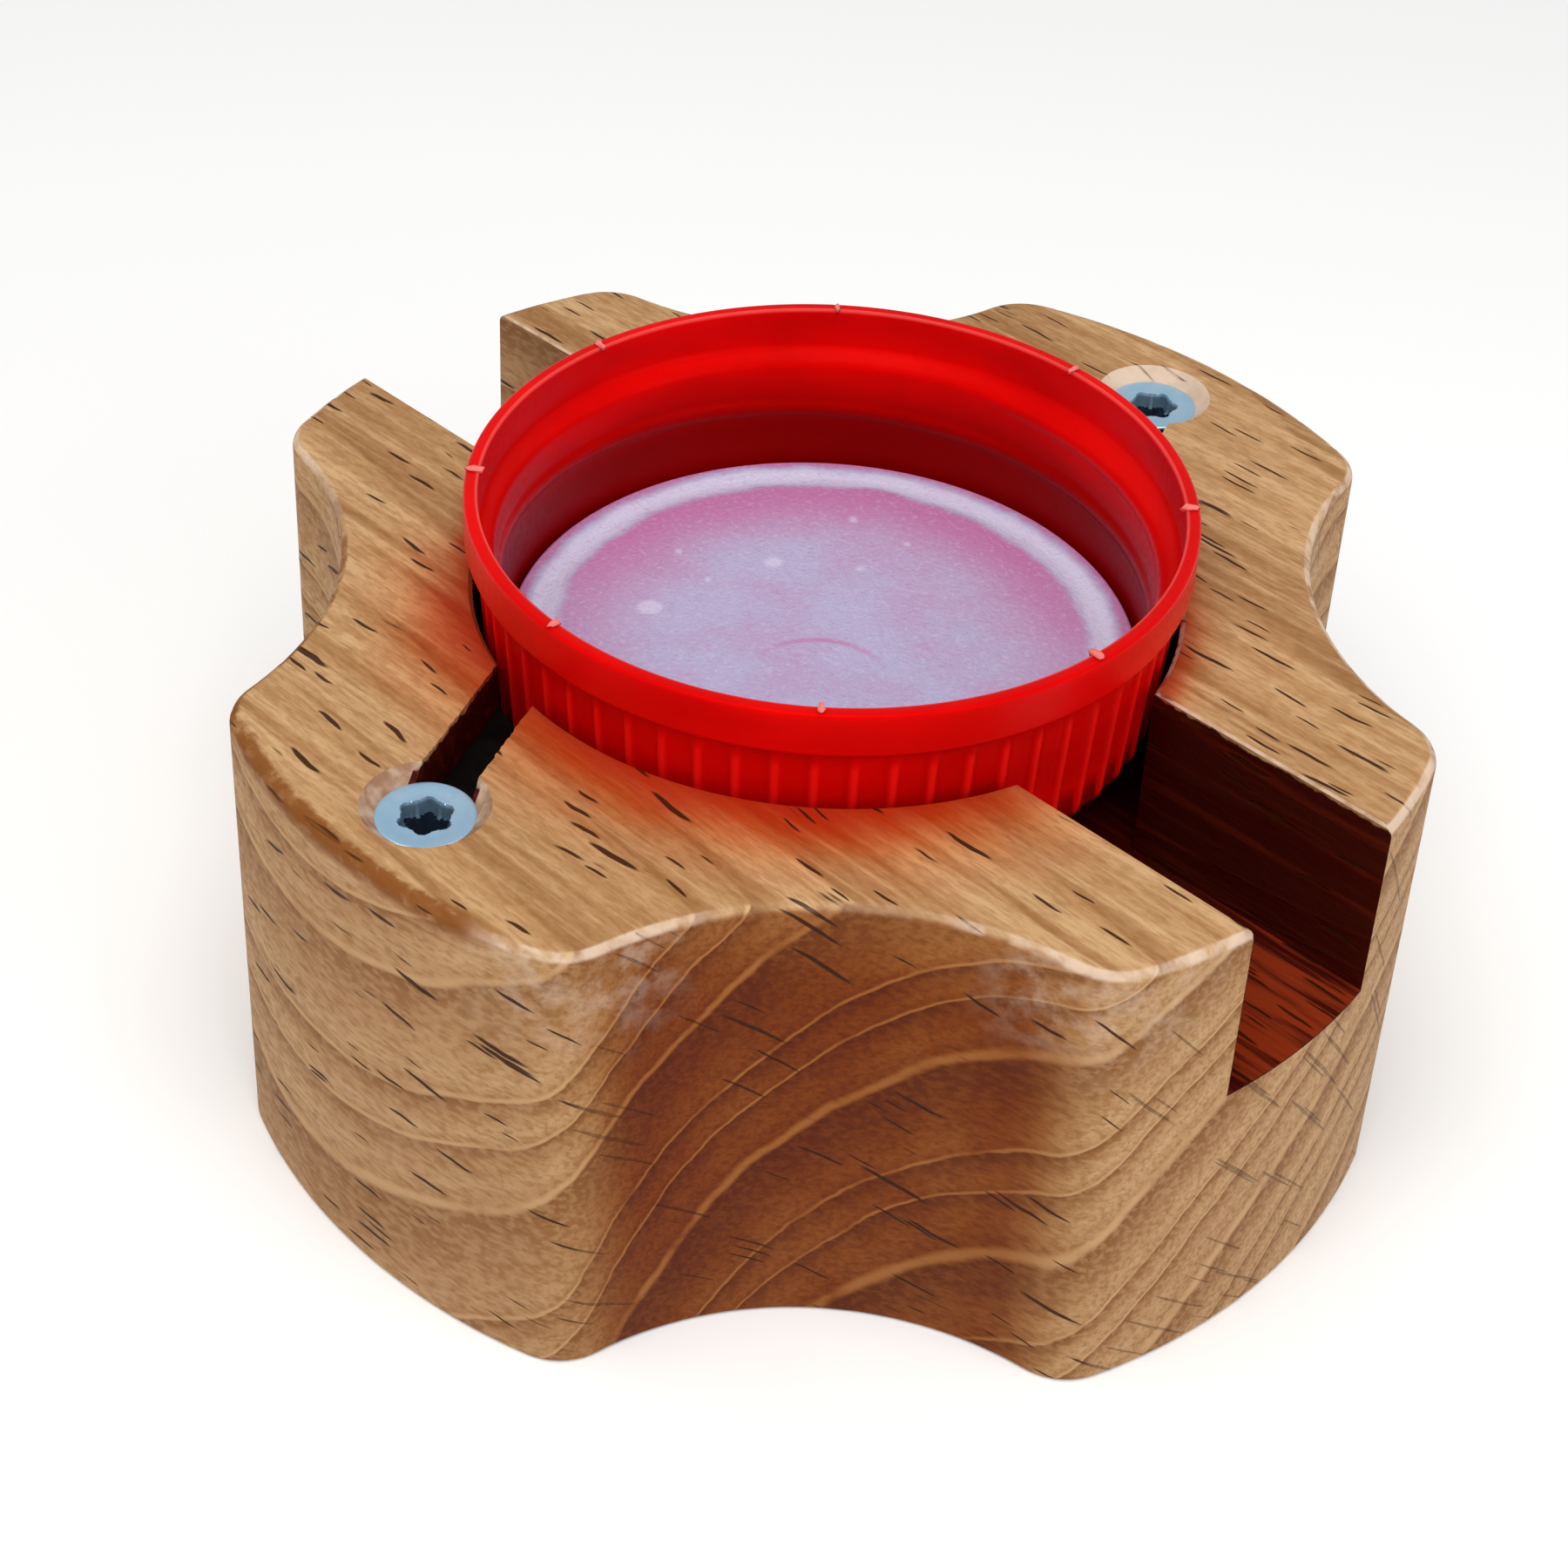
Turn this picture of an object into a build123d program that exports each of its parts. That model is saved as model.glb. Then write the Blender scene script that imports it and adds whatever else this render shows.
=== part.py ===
"""Beech screw-cap opener: a star-shaped hand block that holds a canister cap in its pocket.

Millimetres, +Z up. The block stands on Z = 0 and its pocket is on the Z axis. The wide slot
runs along X, with the grain. The two screws stand on the Y axis, at the ends of two oblique
kerfs, and each screw keeps a grip pad in its kerf.
"""

import os
from math import cos, radians, sin, sqrt

from build123d import *

# ---- Hand block ----
block_height = 47.5
lobe_radius = 57.0            # from the axis to the outside of the lobes
scallop_count = 4
scallop_radius = 32.0         # hollow for a finger between two lobes
scallop_bottom = 45.0         # from the axis to the deepest point of a scallop
corner_round = 6.0            # upright corners between lobe and scallop
edge_bevel = 0.9              # worn edge round the top and the foot

# ---- Pocket and wide slot ----
pocket_diameter = 65.0
recess_depth = 18.0           # pocket, slot and kerfs are routed to one depth
slot_width = 18.5
mouth_bevel = 0.4             # round the pocket's mouth

# ---- Screws ----
screw_from_edge = 9.0         # from the outside of its lobe to each screw
screw_length = 35.0
screw_shank_diameter = 4.5
screw_head_diameter = 8.8
screw_tip_length = 6.0
screw_tip_radius = 0.3
head_below_top = 1.2          # the heads are sunk a little under the top
drive_diameter = 4.8          # over the points of the six-lobe recess
drive_notch_radius = 0.75     # the hollows between its points
drive_depth = 1.5

# ---- Oblique kerfs and the grip pads in them ----
kerf_width = 5.2
kerf_angle = 24.0             # between a kerf and the line from its screw to the axis
kerf_overrun = 4.0            # how far a kerf runs on past the pocket wall
pad_below_top = 5.0
pad_to_shank = 0.4            # gap between a pad's outer end and the screw's shank

# ---- Screw cap, mouth up ----
cap_clearance = 0.4           # between the ribs and the pocket wall, all round
cap_height = 21.5
cap_above_block = 10.0        # the rim stands this far over the block's top
cap_wall = 1.3
cap_plate = 2.2               # closed end
cap_taper = 0.8               # the skirt is this much smaller in radius at its closed end
cap_corner = 4.0              # rounding of the closed end
collar_height = 4.2
collar_overhang = 1.1         # how far the collar stands out past the ribs
collar_slope = 1.2            # height of the slope under the collar
rim_round = 0.35
rib_count = 60
rib_width = 0.9
rib_height = 0.4
rib_overlap = 0.1             # how far a rib's root and upper end run into the wall
thread_pitch = 5.0
thread_turns = 1.3
thread_depth = 1.0
thread_crest = 0.7
thread_root = 1.9
thread_start = 7.0            # from the plate to the middle of the thread's first end
bridge_count = 8              # stubs of the torn-off tamper band, on the rim
bridge_turn = -2.5
bridge_length = 1.1
bridge_width = 0.8
bridge_height = 0.45

# ---- Foam liner ----
liner_thickness = 3.0
liner_gap = 0.25              # between the liner and the skirt
ring_inset = 2.95             # from the liner's edge to the ring that a bottle neck has pressed in
ring_width = 2.2
ring_depth = 0.35

# ---- Worked out from the sizes above ----
scallop_distance = scallop_bottom + scallop_radius
recess_floor = block_height - recess_depth
pocket_radius = pocket_diameter / 2
screw_distance = lobe_radius - screw_from_edge
kerf_offset = screw_distance * sin(radians(kerf_angle))      # from the axis square to a kerf
kerf_to_middle = screw_distance * cos(radians(kerf_angle))   # along a kerf, screw to nearest the axis
kerf_reach = kerf_to_middle - sqrt(pocket_radius**2 - kerf_offset**2) + kerf_overrun
head_top = block_height - head_below_top
head_radius = screw_head_diameter / 2
shank_radius = screw_shank_diameter / 2
head_bottom = head_top - (head_radius - shank_radius)
screw_point = head_top - screw_length
sink_radius = head_radius + head_below_top
pad_top = block_height - pad_below_top
rib_radius = pocket_radius - cap_clearance
skirt_radius = rib_radius - rib_height
collar_radius = rib_radius + collar_overhang
cap_rim = block_height + cap_above_block
cap_base = cap_rim - cap_height
plate_top = cap_base + cap_plate
collar_bottom = cap_rim - collar_height
slope_bottom = collar_bottom - collar_slope
bore_radius = skirt_radius - cap_wall
bore_low_radius = bore_radius - cap_taper
rib_root_radius = skirt_radius - cap_taper - rib_overlap
liner_radius = bore_low_radius - liner_gap
ring_radius = liner_radius - ring_inset
cut_margin = 1.0              # how far a cutting tool runs past a face

# Each kerf is cut in its screw's own plane: X across the kerf, Y from the screw to the pocket.
screw_planes = {
    "front": Plane(origin=(0, -screw_distance, 0)).rotated((0, 0, kerf_angle)),
    "rear": Plane(origin=(0, screw_distance, 0)).rotated((0, 0, 180 + kerf_angle)),
}


def kerf_outline():
    """The kerf in its screw's plane, round at both ends, from the screw into the pocket."""
    return SlotCenterPoint((0, kerf_reach / 2), (0, kerf_reach), kerf_width)


# ---- Beech block ----
with BuildPart() as beech_block:
    with BuildSketch() as star:
        Circle(lobe_radius)
        with PolarLocations(scallop_distance, scallop_count, start_angle=45):
            Circle(scallop_radius, mode=Mode.SUBTRACT)
        fillet(star.vertices(), corner_round)
    extrude(amount=block_height)
    chamfer(beech_block.faces().filter_by(Axis.Z).edges(), edge_bevel)

    with BuildSketch(Plane.XY.offset(recess_floor)):
        Circle(pocket_radius)
    extrude(amount=recess_depth, mode=Mode.SUBTRACT)
    mouth = beech_block.edges().filter_by(GeomType.CIRCLE).filter_by(
        lambda edge: abs(edge.radius - pocket_radius) < 0.01
    )
    chamfer(mouth.sort_by(Axis.Z)[-1], mouth_bevel)

    with BuildSketch(Plane.XY.offset(recess_floor)):
        Rectangle(2 * (lobe_radius + cut_margin), slot_width)
    extrude(amount=recess_depth, mode=Mode.SUBTRACT)

    for plane in screw_planes.values():
        with BuildSketch(plane.offset(recess_floor)):
            kerf_outline()
        extrude(amount=recess_depth, mode=Mode.SUBTRACT)
        with Locations(plane.offset(block_height)):
            CounterSinkHole(
                radius=shank_radius,
                counter_sink_radius=sink_radius,
                depth=block_height - screw_point,
                counter_sink_angle=90,
            )
beech_block.part.label = "beech_block"

# ---- Screws, each with its head sunk in the block over the end of its kerf ----
screws = {}
for place, plane in screw_planes.items():
    with BuildPart() as screw:
        upright = Plane(origin=plane.origin, x_dir=(1, 0, 0), z_dir=(0, -1, 0))
        with BuildSketch(upright):
            with BuildLine():
                Polyline(
                    (0, screw_point),
                    (screw_tip_radius, screw_point),
                    (shank_radius, screw_point + screw_tip_length),
                    (shank_radius, head_bottom),
                    (head_radius, head_top),
                    (0, head_top),
                    close=True,
                )
            make_face()
        revolve(axis=Axis(plane.origin, (0, 0, 1)))
        with BuildSketch(plane.offset(head_top)):
            Circle(drive_diameter / 2)
            with PolarLocations(drive_diameter / 2, 6):
                Circle(drive_notch_radius, mode=Mode.SUBTRACT)
        extrude(amount=-drive_depth, mode=Mode.SUBTRACT)
    screw.part.label = f"screw_{place}"
    screws[place] = screw

# ---- Grip pads, one in each kerf, ending flush with the pocket wall ----
pads = {}
for place, plane in screw_planes.items():
    with BuildPart() as pad:
        with BuildSketch(plane.offset(recess_floor)):
            kerf_outline()
            Circle(shank_radius + pad_to_shank, mode=Mode.SUBTRACT)
            with Locations((0, -kerf_width)):
                Rectangle(2 * kerf_width, 2 * kerf_width, mode=Mode.SUBTRACT)
        extrude(amount=pad_top - recess_floor)
        with BuildSketch(Plane.XY.offset(recess_floor)):
            Circle(pocket_radius)
        extrude(amount=recess_depth, mode=Mode.SUBTRACT)
    pad.part.label = f"grip_pad_{place}"
    pads[place] = pad

# ---- Screw cap ----
with BuildPart() as rib_envelope:
    with BuildSketch(Plane.XZ):
        with BuildLine():
            Polyline(
                (0, cap_base),
                (rib_radius - cap_taper - cap_corner, cap_base),
            )
            RadiusArc(
                (rib_radius - cap_taper - cap_corner, cap_base),
                (rib_radius - cap_taper, cap_base + cap_corner),
                -cap_corner,
            )
            Polyline(
                (rib_radius - cap_taper, cap_base + cap_corner),
                (rib_radius, slope_bottom),
                (rib_radius, collar_bottom),
                (0, collar_bottom),
                (0, cap_base),
            )
        make_face()
    revolve(axis=Axis.Z)

with BuildPart() as cap_ribs:
    with BuildSketch(Plane.XY.offset(cap_base)):
        with PolarLocations(rib_root_radius, rib_count):
            Rectangle(rib_radius, rib_width, align=(Align.MIN, Align.CENTER))
    extrude(amount=slope_bottom + rib_overlap - cap_base)
    add(rib_envelope.part, mode=Mode.INTERSECT)

with BuildPart() as cap_thread:
    with BuildLine() as ridge_path:
        Helix(
            pitch=thread_pitch,
            height=thread_pitch * thread_turns,
            radius=bore_radius,
            center=(0, 0, plate_top + thread_start),
        )
    ridge_plane = Plane(origin=ridge_path.line @ 0, x_dir=(1, 0, 0), z_dir=ridge_path.line % 0)
    with BuildSketch(ridge_plane):
        with BuildLine():
            Polyline(
                (cap_wall / 3, -thread_root / 2),
                (cap_wall / 3, thread_root / 2),
                (-thread_depth, thread_crest / 2),
                (-thread_depth, -thread_crest / 2),
                close=True,
            )
        make_face()
    sweep(path=ridge_path.line, is_frenet=True)

with BuildPart() as screw_cap:
    with BuildSketch(Plane.XZ):
        with BuildLine():
            base_edge = skirt_radius - cap_taper - cap_corner
            Line((0, cap_base), (base_edge, cap_base))
            RadiusArc((base_edge, cap_base), (skirt_radius - cap_taper, cap_base + cap_corner), -cap_corner)
            Polyline(
                (skirt_radius - cap_taper, cap_base + cap_corner),
                (skirt_radius, slope_bottom),
                (collar_radius, collar_bottom),
                (collar_radius, cap_rim),
                (collar_radius - cap_wall, cap_rim),
                (collar_radius - cap_wall, collar_bottom),
                (bore_radius, slope_bottom),
                (bore_low_radius, plate_top),
                (0, plate_top),
                (0, cap_base),
            )
        make_face()
    revolve(axis=Axis.Z)
    rim_edges = screw_cap.edges().filter_by(GeomType.CIRCLE).group_by(Axis.Z)[-1]
    fillet(rim_edges, rim_round)
    add(cap_ribs.part)
    add(cap_thread.part)
    with BuildSketch(Plane.XY.offset(cap_rim - rim_round)):
        with PolarLocations(collar_radius - cap_wall / 2, bridge_count, start_angle=bridge_turn):
            Rectangle(bridge_width, bridge_length)
    extrude(amount=rim_round + bridge_height)
screw_cap.part.label = "screw_cap"

# ---- Foam liner ----
with BuildPart() as cap_liner:
    with BuildSketch(Plane.XY.offset(plate_top)):
        Circle(liner_radius)
    extrude(amount=liner_thickness)
    with BuildSketch(Plane.XY.offset(plate_top + liner_thickness - ring_depth)):
        Circle(ring_radius + ring_width / 2)
        Circle(ring_radius - ring_width / 2, mode=Mode.SUBTRACT)
    extrude(amount=ring_depth, mode=Mode.SUBTRACT)
cap_liner.part.label = "cap_liner"

# ---- Files ----
os.makedirs("parts", exist_ok=True)
for piece in [beech_block, *screws.values(), *pads.values(), screw_cap, cap_liner]:
    export_step(piece.part, f"parts/{piece.part.label}.step")
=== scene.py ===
"""Looks of the beech screw-cap opener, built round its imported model.

Sizes in the classes are millimetres in the row frame, +Z up; `Workshop.to_object` turns a
finished mesh into metres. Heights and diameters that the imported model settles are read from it.
"""

import logging
import math
from dataclasses import dataclass
from enum import Enum
from functools import reduce
from typing import Iterable, Sequence

import bmesh
import bpy
from mathutils import Matrix, Vector, noise


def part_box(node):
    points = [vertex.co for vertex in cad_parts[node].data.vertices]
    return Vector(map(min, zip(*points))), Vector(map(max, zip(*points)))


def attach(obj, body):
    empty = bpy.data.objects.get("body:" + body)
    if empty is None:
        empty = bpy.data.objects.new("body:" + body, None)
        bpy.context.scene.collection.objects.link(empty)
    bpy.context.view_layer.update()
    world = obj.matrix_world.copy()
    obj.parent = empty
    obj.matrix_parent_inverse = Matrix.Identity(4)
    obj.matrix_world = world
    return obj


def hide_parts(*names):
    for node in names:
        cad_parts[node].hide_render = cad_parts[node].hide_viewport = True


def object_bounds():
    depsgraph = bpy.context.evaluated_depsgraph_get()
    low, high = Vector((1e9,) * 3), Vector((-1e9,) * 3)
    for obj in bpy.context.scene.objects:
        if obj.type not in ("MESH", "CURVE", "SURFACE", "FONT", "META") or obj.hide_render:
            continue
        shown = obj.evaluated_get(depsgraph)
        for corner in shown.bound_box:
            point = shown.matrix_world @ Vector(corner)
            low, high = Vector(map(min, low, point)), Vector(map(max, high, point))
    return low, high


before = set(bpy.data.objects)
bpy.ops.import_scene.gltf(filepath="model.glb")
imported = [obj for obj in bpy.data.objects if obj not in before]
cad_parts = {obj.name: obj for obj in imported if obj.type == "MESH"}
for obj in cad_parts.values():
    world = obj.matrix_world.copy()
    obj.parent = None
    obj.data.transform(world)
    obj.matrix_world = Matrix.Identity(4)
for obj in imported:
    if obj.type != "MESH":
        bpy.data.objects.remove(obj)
CAD_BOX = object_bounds()
METRES = 0.001
MERGE = 1e-4          # millimetres within which two points are one
Colour = tuple[float, float, float]
Point = tuple[float, float]
Socket = bpy.types.NodeSocket
LOG = logging.getLogger("cap_opener")


class Body(Enum):
    """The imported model's moving bodies."""

    BLOCK = "block"
    CAP = "cap"


class Slot(Enum):
    """The record's material slots."""

    BEECH = "beech"
    ZINC = "zinc"
    RUBBER = "pad_rubber"
    PLASTIC = "cap_red"
    FOAM = "liner_foam"


class Level(Enum):
    """How high a CAD node's box reaches, low or high."""

    LOW = 0
    HIGH = 1


def cad_height(node: str, level: Level) -> float:
    """A node's lowest or highest Z in millimetres.

    Args:
        node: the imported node's name.
        level: which end of its box.

    Returns:
        The height over the block's foot.
    """
    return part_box(node)[level.value].z / METRES


def cad_reach(node: str) -> float:
    """Half a node's width along X, in millimetres."""
    low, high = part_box(node)
    return (high.x - low.x) / 2 / METRES


def cad_middle(node: str) -> Vector:
    """The middle of a node's box, in millimetres."""
    low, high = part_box(node)
    return (low + high) / 2 / METRES


def smooth_step(low: float, high: float, value: float) -> float:
    """Eases from 0 at low to 1 at high.

    Args:
        low: where the ease starts.
        high: where it ends, above or below low.
        value: the place to read it at.

    Returns:
        A share from 0 to 1.
    """
    share = min(1.0, max(0.0, (value - low) / (high - low)))
    return share * share * (3 - 2 * share)


# ---------------------------------------------------------------- shader nodes


class NodeTree:
    """A material's node tree, with short ways to add and join the nodes used here."""

    MIX_COLOURS = (6, 7)      # the Mix node's two colour inputs
    MIX_RESULT = 2            # and its colour output

    def __init__(self, name: str) -> None:
        """Starts an empty material, with its Principled shader and output.

        Args:
            name: what the material is called.
        """
        self.material = bpy.data.materials.new(name)
        self.material.use_nodes = True
        self.tree = self.material.node_tree
        self.tree.nodes.clear()
        self.shader = self.tree.nodes.new("ShaderNodeBsdfPrincipled")
        output = self.tree.nodes.new("ShaderNodeOutputMaterial")
        self.tree.links.new(self.shader.outputs[0], output.inputs["Surface"])
        self.coordinates = self.tree.nodes.new("ShaderNodeTexCoord")
        self.direction = self.parts(self.coordinates.outputs["Normal"])
        self.millimetres = self.parts(self.map(self.place(), scale=(1 / METRES,) * 3))

    def add(self, kind: str, *values: object, **settings: object) -> bpy.types.Node:
        """Adds a node.

        Args:
            kind: the node's type, without ShaderNode.
            values: sockets or plain values for its first inputs, in order.
            settings: its own properties, and its inputs by name with underscores for spaces.

        Returns:
            The node.
        """
        node = self.tree.nodes.new("ShaderNode" + kind)
        for name, value in settings.items():
            if hasattr(node, name):
                setattr(node, name, value)
            else:
                self.feed(node, name.replace("_", " "), value)
        for index, value in enumerate(values):
            self.feed(node, index, value)
        return node

    def feed(self, node: bpy.types.Node, index: int | str, value: object) -> None:
        """Gives an input a link if value is a socket, and a plain value if it isn't."""
        if isinstance(value, Socket):
            self.tree.links.new(value, node.inputs[index])
        else:
            node.inputs[index].default_value = value

    def set(self, **values: object) -> None:
        """Feeds the shader's own inputs, named with underscores for spaces."""
        for name, value in values.items():
            self.feed(self.shader, name.replace("_", " "), value)

    def place(self) -> Socket:
        """The place on the object, in metres."""
        return self.coordinates.outputs["Object"]

    def map(
        self,
        vector: Socket,
        scale: Sequence[float] = (1, 1, 1),
        location: Sequence[float] = (0, 0, 0),
        rotation: Sequence[float] = (0, 0, 0),
    ) -> Socket:
        """Scales, turns and shifts a place.

        Args:
            vector: the place.
            scale: how much it is stretched along each axis.
            location: what is added to it.
            rotation: the turn in radians.

        Returns:
            The changed place.
        """
        node = self.add("Mapping", vector, Scale=scale, Location=location, Rotation=rotation)
        return node.outputs[0]

    def math(self, operation: str, *values: object) -> Socket:
        """A Math node's result, from sockets or numbers."""
        return self.add("Math", *values, operation=operation).outputs[0]

    def product(self, *values: object) -> Socket:
        """The product of sockets or numbers."""
        return reduce(lambda first, second: self.math("MULTIPLY", first, second), values)

    def minus(self, first: object, second: object) -> Socket:
        """The first less the second."""
        return self.math("SUBTRACT", first, second)

    def sway(self, base: object, value: object, amount: float) -> Socket:
        """A base moved by a value times an amount."""
        return self.math("MULTIPLY_ADD", value, amount, base)

    def most(self, first: object, second: object) -> Socket:
        """The larger of two."""
        return self.math("MAXIMUM", first, second)

    def size(self, value: object) -> Socket:
        """A value without its sign."""
        return self.math("ABSOLUTE", value)

    def vector_math(self, operation: str, *values: object) -> Socket:
        """A Vector Math node's vector result, from sockets or vectors."""
        return self.add("VectorMath", *values, operation=operation).outputs[0]

    def length(self, vector: Socket) -> Socket:
        """The length of a vector."""
        return self.add("VectorMath", vector, operation="LENGTH").outputs["Value"]

    def parts(self, vector: Socket) -> tuple[Socket, ...]:
        """The X, Y and Z of a vector."""
        return tuple(self.add("SeparateXYZ", vector).outputs)

    def vector(self, x: object, y: object, z: object) -> Socket:
        """A vector from three sockets or numbers."""
        return self.add("CombineXYZ", x, y, z).outputs[0]

    def reach(self, x: object, y: object) -> Socket:
        """How far X and Y together reach in plan."""
        return self.length(self.vector(x, y, 0.0))

    def bearing(self) -> Socket:
        """Each place's angle round the Z axis, in degrees from X."""
        x, y, _ = self.millimetres
        return self.math("DEGREES", self.math("ARCTAN2", y, x))

    def noise(
        self, vector: Socket, scale: float, detail: float = 2.0, rough: float = 0.5
    ) -> Socket:
        """Soft noise from about 0.25 to 0.75.

        Args:
            vector: the place.
            scale: features per unit of it.
            detail: how many finer layers it has.
            rough: how strong the finer layers are.

        Returns:
            The noise's value.
        """
        node = self.add("TexNoise", vector, Scale=scale, Detail=detail, Roughness=rough)
        return node.outputs["Fac"]

    def grain(self, scale: Sequence[float], detail: float = 2.0, rough: float = 0.5) -> Socket:
        """Noise over the object with its own features per metre along each axis."""
        return self.noise(self.map(self.place(), scale), 1.0, detail, rough)

    def cells(self, vector: Socket) -> tuple[Socket, Socket]:
        """Scattered points, one per unit: the distance to the nearest, and its random number."""
        node = self.add("TexVoronoi", vector, Scale=1.0)
        return node.outputs["Distance"], self.parts(node.outputs["Color"])[0]

    def span(self, value: object, low: float, high: float, to: Point = (0.0, 1.0)) -> Socket:
        """Eases a value from one range to another, held at both ends.

        Args:
            value: the value.
            low: what becomes the first of to.
            high: what becomes the second of to.
            to: the range it becomes.

        Returns:
            The eased value.
        """
        node = self.add("MapRange", value, low, high, *to, interpolation_type="SMOOTHSTEP")
        return node.outputs[0]

    def ramp(self, value: Socket, stops: Sequence[tuple[float, Colour]]) -> Socket:
        """Colours along a value.

        Args:
            value: a value from 0 to 1.
            stops: where each colour stands, and the colour.

        Returns:
            The colour there.
        """
        node = self.add("ValToRGB", value)
        points = node.color_ramp.elements
        while len(points) < len(stops):
            points.new(0.5)
        for point, (where, colour) in zip(points, stops):
            point.position = where
            point.color = (*colour, 1.0)
        return node.outputs[0]

    def mix(self, share: object, first: object, second: object, blend: str = "MIX") -> Socket:
        """Mixes two colours.

        Args:
            share: how much of the second there is, a socket or a number.
            first: a socket or a colour.
            second: a socket or a colour.
            blend: the node's blend type.

        Returns:
            The mixed colour.
        """
        node = self.add("Mix", share, data_type="RGBA", blend_type=blend)
        for index, colour in zip(self.MIX_COLOURS, (first, second)):
            self.feed(node, index, colour if isinstance(colour, Socket) else (*colour, 1.0))
        return node.outputs[self.MIX_RESULT]

    def tint(self, share: object, colour: object, filter_colour: Colour) -> Socket:
        """Lays a coloured filter over part of a colour."""
        return self.mix(share, colour, self.mix(1.0, colour, filter_colour, "MULTIPLY"))

    def bump(self, height: Socket, depth: float) -> None:
        """Gives the shader a bump from a height of 0 to 1 that stands for depth in millimetres."""
        node = self.add("Bump", Strength=1.0, Distance=depth * METRES, Height=height)
        self.set(Normal=node.outputs[0])


# ---------------------------------------------------------------- finishes


@dataclass(frozen=True)
class OiledBeech:
    """Steamed beech with its grain along X: growth rings, dark rays, worn edges and stains, painted
    shade in the front hollow and the recesses, and the cap's red light painted round the pocket.

    Bearings are degrees round the block's axis, from X. A filter multiplies the wood under it.
    """

    block: "HandBlock"
    pale: Colour = (0.560, 0.350, 0.175)
    tan: Colour = (0.435, 0.240, 0.104)
    brown: Colour = (0.235, 0.095, 0.025)
    late_wood: Colour = (0.175, 0.058, 0.012)
    ring_line: Colour = (0.560, 0.340, 0.165)
    ray: Colour = (0.034, 0.007, 0.0012)
    worn_white: Colour = (0.66, 0.50, 0.38)
    worn_brown: Colour = (0.200, 0.062, 0.010)
    # hand oil and painted warm bounce light in the front hollow
    oil_and_bounce_filter: Colour = (0.93, 0.52, 0.09)         # a filter
    # the gripped hollow's real stain and its painted shade
    grip_stain_and_shade: Colour = (0.40, 0.22, 0.06)       # a filter over the oiled wood
    # painted light: the cap's orange glow on the wood
    cap_light_orange: Colour = (0.98, 0.38, 0.06)       # a filter
    # painted light: the cap's deep red glow next to the pocket
    cap_light_red: Colour = (0.340, 0.012, 0.001)
    bare: Colour = (0.56, 0.42, 0.31)
    # painted shade on the walls of the pocket, slot and kerfs
    recess_shade: Colour = (0.034, 0.0008, 0.0006)
    # painted shade on the recess floors, reddened by the cap's light
    recess_floor_shade: Colour = (0.200, 0.020, 0.004)
    pith: Point = (75.0, -68.0)                   # Y and Z of the rings' middle
    pith_distance: float = 118.0                  # of the block's own wood from the pith
    ring_lean: float = 0.10                       # how much a ring climbs along the grain
    ring_width: float = 5.0
    ring_waver: float = 3.4
    ring_fray: float = 0.9
    ring_rhythm: float = 0.43                     # radians of the good and bad years, per mm
    ring_uneven: float = 1.5
    ray_cell: tuple[float, float, float] = (21.0, 50.0, 1.25)     # along, out and round
    ray_layers: tuple[Point, ...] = (             # each one's turn and size
        (0.0, 1.0), (0.035, 0.62), (-0.03, 0.75), (0.02, 0.88),
    )
    ray_least: float = 0.07                       # of a cell
    ray_spread: float = 0.10                      # of a cell
    ray_bend: float = 1.6
    worn_middle: float = -37.0                    # bearing between the two rubbed horns
    front_middle: float = -45.0                   # bearing of the front hollow
    bump_depth: float = 0.13

    def ring_place(self, nodes: NodeTree) -> Socket:
        """Each place as the tree grew it: along the grain, out from the pith, and round it.

        Args:
            nodes: the material's nodes.

        Returns:
            The place in millimetres.
        """
        x, y, z = nodes.millimetres
        off_y, off_z = nodes.minus(y, self.pith[0]), nodes.minus(z, self.pith[1])
        radius = nodes.length(nodes.vector(0.0, off_y, off_z))
        turn = nodes.math("ARCTAN2", off_z, off_y)
        return nodes.vector(x, radius, nodes.product(turn, self.pith_distance))

    def rings(self, nodes: NodeTree, grown: Socket) -> Socket:
        """How far through its growth ring each place is, from 0 to 1.

        Args:
            nodes: the material's nodes.
            grown: the place as the tree grew it.

        Returns:
            The share of the ring's width.
        """
        x, radius, _ = nodes.parts(grown)
        radius = nodes.sway(radius, x, -self.ring_lean)
        radius = nodes.sway(radius, nodes.grain((12, 45, 45), 2.0, 0.4), self.ring_waver)
        radius = nodes.sway(radius, nodes.grain((60, 260, 260), 3.0, 0.55), self.ring_fray)
        uneven = nodes.math("SINE", nodes.product(radius, self.ring_rhythm))
        radius = nodes.sway(radius, uneven, self.ring_uneven)
        return nodes.math("FRACT", nodes.math("DIVIDE", radius, self.ring_width))

    def rays(self, nodes: NodeTree, grown: Socket) -> Socket:
        """Dark rays, thin sheets along the grain and out from the pith, 1 inside one and 0 outside.

        Args:
            nodes: the material's nodes.
            grown: the place as the tree grew it.

        Returns:
            The rays' strength.
        """
        bend = nodes.product(nodes.minus(nodes.grain((90, 40, 40), 3.0), 0.5), self.ray_bend)
        bent = nodes.vector_math("ADD", grown, nodes.vector(0.0, 0.0, bend))
        sheets = []
        for turn, grow in self.ray_layers:
            scale = [1 / (size * grow) for size in self.ray_cell]
            turned = nodes.map(bent, scale, (9 * grow, 5, 3), (0.0, turn, 0.0))
            distance, chance = nodes.cells(turned)
            size = nodes.math("ADD", nodes.product(chance, self.ray_spread), self.ray_least)
            sheets.append(nodes.span(nodes.math("DIVIDE", distance, size), 1.0, 0.72))
        return reduce(nodes.most, sheets)

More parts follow.
